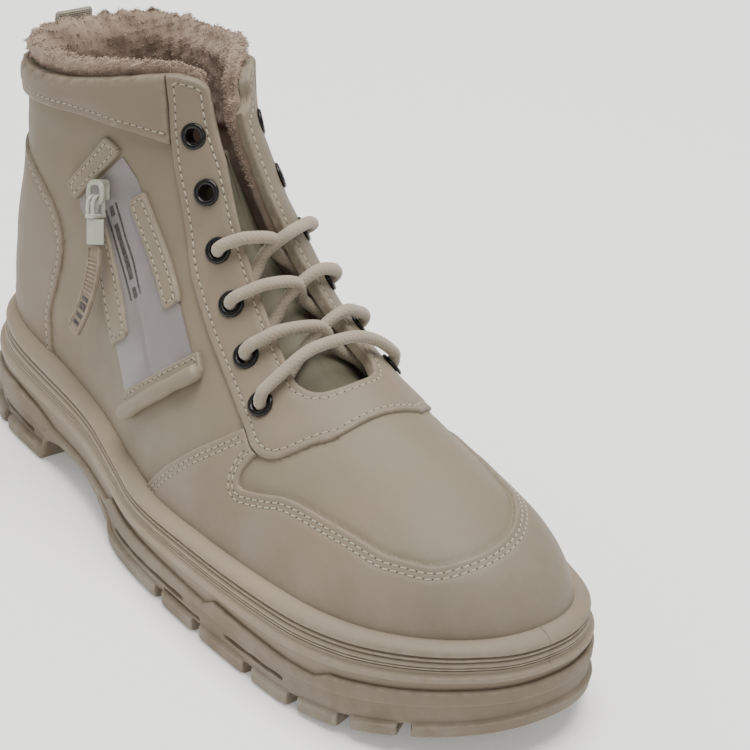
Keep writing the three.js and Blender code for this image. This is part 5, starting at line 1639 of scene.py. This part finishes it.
def makeSlider():
    ring = ovalRing(3.45, 3.75, 3.75, 1.05)
    post = roundBlock(4.4, 2.0, 4.6, (0, 7.5, -2.0), 0.4)
    body = roundBlock(4.6, 7.0, 1.4, (0, 4.6, -4.4), 0.5)
    points, faces = joinFaces([ring, post, body])
    wearsOn(meshObject("slider_ring", inPullFrame(points), faces, plastic, 40), "boot", "slider_plastic",
            "zip_slider")


def makePull():
    parts = []
    for x in (-pull["spread"], pull["spread"]):
        turn = np.linspace(0, math.pi, 14)
        bow = np.stack([0 * turn + x, pull["loopTurn"] * np.sin(turn), pull["loopTurn"] * np.cos(turn)], -1)
        legs = [np.array([[x, -pull["loopLength"] - 0.4, z], [x, -0.5 * pull["loopLength"], z]])
                for z in (pull["loopTurn"], -pull["loopTurn"])]
        path = np.concatenate([legs[0], bow, legs[1][::-1]])
        points, faces, _ = tubePoints(path, pull["wire"] * 0.92, 12, 0.35)
        parts.append((points, faces))
    parts.append(roundBlock(4.1, 1.6, 6.7, (0, -pull["loopLength"], 0), 0.4))
    points, faces = joinFaces(parts)
    obj = meshObject("clear_loop", inPullFrame(points), faces, clear, 50)
    wearsOn(obj, "pull", "clear_plastic", "pull_loop")
    points, faces = hexBlock(8.4, 4.6, pull["claspHigh"], pull["claspTop"], 0.12)
    wearsOn(meshObject("hexagon_clasp", inPullFrame(points), faces, plastic, 35), "pull", "slider_plastic",
            "pull_clasp")
    makeTag()


def tagPlace(points):  # bends a straight tag sideways as it hangs
    share = np.clip(-points[:, 1] / pull["tagLength"], 0, 1)
    lean = 2 * pull["swing"] * share / pull["tagLength"]
    x = -pull["swing"] * share**2 + points[:, 0] * np.cos(lean)
    y = pull["claspTop"] - pull["claspHigh"] - 0.3 + points[:, 1] - points[:, 0] * np.sin(lean)
    return np.stack([x, y, points[:, 2]], -1)


def makeTag():
    long, wide, thick = pull["tagLength"], pull["tagWide"], pull["tagThick"]
    rows, ringCount = 120, 20
    parts = []
    points = []
    for k in range(rows + 1):
        share = k / rows
        taper = 1 - 0.25 * max(0, 1 - share * 14) - 0.3 * max(0, share * 30 - 29)
        for q in range(ringCount):
            a = 2 * math.pi * q / ringCount
            cx = np.sign(math.cos(a)) * abs(math.cos(a)) ** 0.45
            cz = np.sign(math.sin(a)) * abs(math.sin(a)) ** 0.45
            points.append((wide / 2 * 0.96 * cx * taper, -long * share, thick / 2 * 0.8 * cz * taper))
    faces = ringWall(rows + 1, ringCount)
    faces += [list(range(ringCount))[::-1], [rows * ringCount + i for i in range(ringCount)]]
    parts.append((tagPlace(np.array(points)), faces))
    for side in (-1, 1):
        rail = np.stack([np.full(60, side * (wide / 2 - 0.55)), -np.linspace(1.0, long - 1.2, 60),
                         np.full(60, thick / 2 * 0.78)], -1)
        p, f, _ = tubePoints(tagPlace(rail), 0.42, 8, 0.5)
        parts.append((p, f))
    for k in range(9):
        y = -5.0 - k * 1.5
        p, f = roundBlock(wide - 2.0, 0.6, 0.5, (0, y, thick / 2 * 0.85), 0.15, 2)
        parts.append((tagPlace(p), f))
    points, faces = joinFaces(parts)
    obj = meshObject("ribbed_tag", inPullFrame(points), faces, tagRubber, 45)
    wearsOn(obj, "pull", "tag_rubber", "pull_tag")
    marks = []
    for y, high in ((-19.6, 1.4), (-22.4, 2.4), (-25.6, 1.4), (-28.2, 1.4)):
        p, f = roundBlock(wide - 3.4, high, 0.16, (0, y, thick / 2 * 0.82), 0.05, 1)
        marks.append((tagPlace(p), f))
    points, faces = joinFaces(marks)
    wearsOn(meshObject("tag_marks", inPullFrame(points), faces, ink, 45), "pull", "tag_rubber")


makeSlider()
makePull()
print("slider and pull are made")
